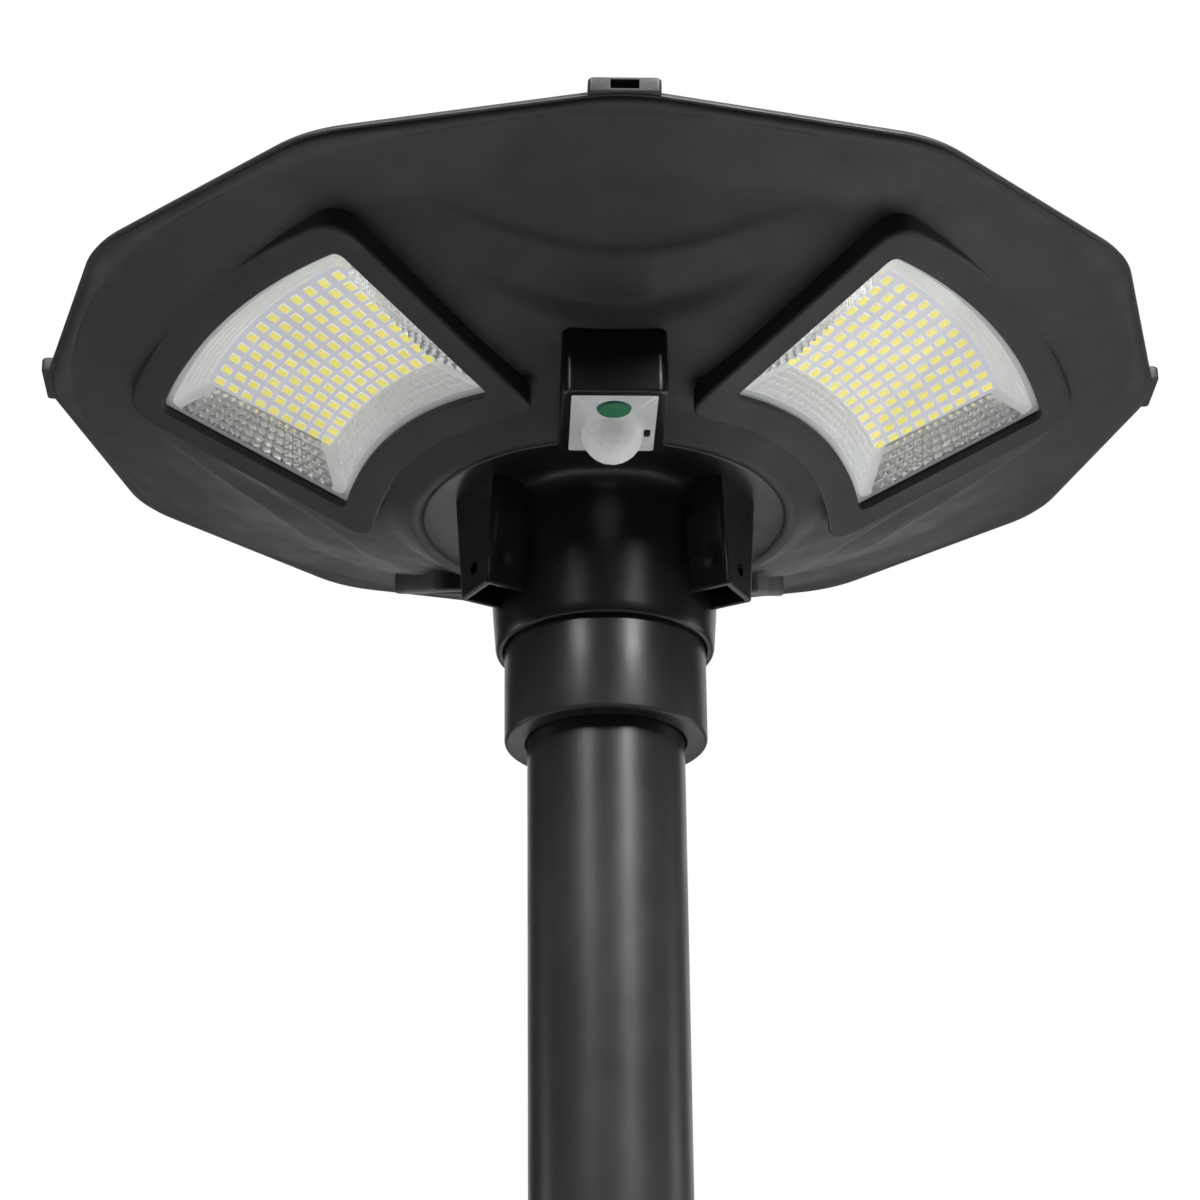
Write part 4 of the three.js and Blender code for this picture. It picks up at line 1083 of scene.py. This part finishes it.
def label_plate():
    plan = rounded_plan((90.6, 147.5), (-20, 20), (1.4, 1.4, 1.4, 1.4), 5)
    levels = [(0.12, -79.2), (0.0, -79.1), (0.0, -78.7), (0.1, -78.6)]
    points, faces = ring_loft(block_rings(plan, levels), caps=True)
    plate = piece("label_sheet", to_front(points), faces, "label_silver", "label_plate")
    indicator = rounded_plan((105, 113), (14.8, 17.8), (1.2, 1.2, 1.2, 1.2), 5)
    cut_out(plate, [block_tool(indicator, -85, -70, FRONT)] + sensor_holes())


def dome():
    """A hollow dome lens with rings of small facets."""
    segments, rows, bands = 144, 48, 5
    radius, inner_r, rim = 14.5, 13.5, -79.5
    centre = (0.0, -DOME_U)
    angle = np.linspace(0, 2 * math.pi, segments, endpoint=False)

    def cap_ring(r, polar):
        return circle(r * math.sin(polar), rim - r * math.cos(polar), angle, centre)

    rings = [cap_ring(inner_r, (math.pi / 2) * (i / 9)) for i in range(1, 9)]
    flange = ((inner_r, rim), (inner_r, -75.6), (15.6, -75.6), (15.6, -77.0), (radius, -77.0))
    rings += [circle(r, z, angle, centre) for r, z in flange]
    for i in range(rows + 1):
        polar = (math.pi / 2) * (1 - i / rows)
        band = (polar / (math.pi / 2)) * bands
        facets = 6 + 3 * min(bands - 1, int(band))
        across = np.abs(2 * ((angle / (2 * math.pi) * facets + 0.5 * (int(band) % 2)) % 1) - 1)
        along = abs(2 * (band % 1) - 1)
        sink = 0.28 * np.clip(np.maximum(across, along) ** 3, 0, 1)
        rings.append(cap_ring(radius - sink * min(1.0, 6 * (1 - polar / (math.pi / 2))), polar))
    points, faces = ring_loft(rings, caps=True)
    faces = [f[::-1] for f in faces]
    piece("dome_lens", points, faces, "dome_white", "pir_dome", sharp=14.0)


def button():
    profile = [(0.01, -75.7), (2.0, -75.7), (2.0, -76.0), (8.9, -76.0), (8.9, -77.0), (7.8, -77.0)]
    profile += [(7.8, -79.7), (7.65, -80.0), (7.3, -80.2), (6.8, -80.28), (6.2, -80.2)]
    profile += [(3.5, -80.06), (0.01, -80.0)]
    points, faces = lathe(profile[::-1], 64, (0.0, -BUTTON_U))
    piece("button_cap", points, faces, "button_green", "power_button", body="button")


sensor_box()
label_plate()
dome()
button()

# ---------------------------------------------------------------- the CAD nodes that stay

for node_name, node in frame["nodes"].items():
    node.data.materials.clear()
    node.data.materials.append(MATERIALS[slots[node_name]])
    if not node.hide_render:
        smooth_sharp(node, 30.0)

# ---------------------------------------------------------------- floor, light and camera


def area(name, place, target, size, energy, shape_y=None, spread=180):
    lamp = bpy.data.lights.new(name, "AREA")
    lamp.energy = energy
    lamp.size = size
    lamp.spread = math.radians(spread)
    if shape_y:
        lamp.shape = "RECTANGLE"
        lamp.size_y = shape_y
    obj = bpy.data.objects.new(name, lamp)
    obj.location = place
    aim = Vector(target) - Vector(place)
    obj.rotation_mode = "QUATERNION"
    obj.rotation_quaternion = aim.to_track_quat("-Z", "Y")
    obj.visible_camera = False
    scene.collection.objects.link(obj)


floor_finish = finish("floor", (0.80, 0.80, 0.79), 0.7, tone=0.02, grain=60.0)
floor_mesh = bpy.data.meshes.new("floor")
floor_corners = [(x, y, FLOOR_Z) for x, y in ((-6, -6), (6, -6), (6, 6), (-6, 6))]
floor_mesh.from_pydata(floor_corners, [], [(0, 1, 2, 3)])
floor_mesh.materials.append(floor_finish)
floor = bpy.data.objects.new("floor", floor_mesh)
scene.collection.objects.link(floor)

world = bpy.data.worlds.new("studio")
scene.world = world
world.use_nodes = True
sky = world.node_tree
base = sky.nodes["Background"]
base.inputs["Color"].default_value = (1.0, 1.0, 1.0, 1.0)
base.inputs["Strength"].default_value = 0.05
white = sky.nodes.new("ShaderNodeBackground")
white.inputs["Color"].default_value = (1.0, 1.0, 1.0, 1.0)
white.inputs["Strength"].default_value = 1.0
seen = sky.nodes.new("ShaderNodeLightPath")
choose = sky.nodes.new("ShaderNodeMixShader")
sky.links.new(seen.outputs["Is Camera Ray"], choose.inputs["Fac"])
sky.links.new(base.outputs["Background"], choose.inputs[1])
sky.links.new(white.outputs["Background"], choose.inputs[2])
sky.links.new(choose.outputs["Shader"], sky.nodes["World Output"].inputs["Surface"])

TARGET = (0.0, 0.0, 0.38)
area("right", (1.6, 0.25, 0.0), TARGET, 0.5, 5, 1.2)
area("left", (-1.6, 0.35, 0.0), TARGET, 0.4, 3, 1.1)
area("below", (0.30, 0.60, -0.59), (0.0, 0.1, 0.38), 1.7, 5.5, 1.0)
area("behind", (0.3, 2.3, 0.95), TARGET, 3.2, 14, 1.7)
area("above", (0.2, 0.2, 1.9), TARGET, 1.4, 7)
area("strip_right", (0.80, -1.40, 1.50), (0.0, 0.0, 0.15), 0.16, 6.5, 0.8, 50)
area("strip_left", (-0.82, -1.35, 1.50), (0.0, 0.0, 0.15), 0.16, 3.5, 0.8, 50)


def rot(axis, degrees):
    return Matrix.Rotation(math.radians(degrees), 3, axis)


view = rot("Z", -2.24) @ rot("X", 23.95) @ rot("Y", 0.60)
right, forward, up = view.col[0], view.col[1], view.col[2]
camera = bpy.data.objects.new("camera", bpy.data.cameras.new("camera"))
camera.data.lens = 106.47
camera.data.sensor_width = 36
camera.matrix_world = Matrix((right, up, -forward)).transposed().to_4x4()
camera.matrix_world.translation = Vector((-0.0644, -1.5897, -0.3926))
scene.collection.objects.link(camera)
scene.camera = camera
scene.view_settings.view_transform = "Standard"
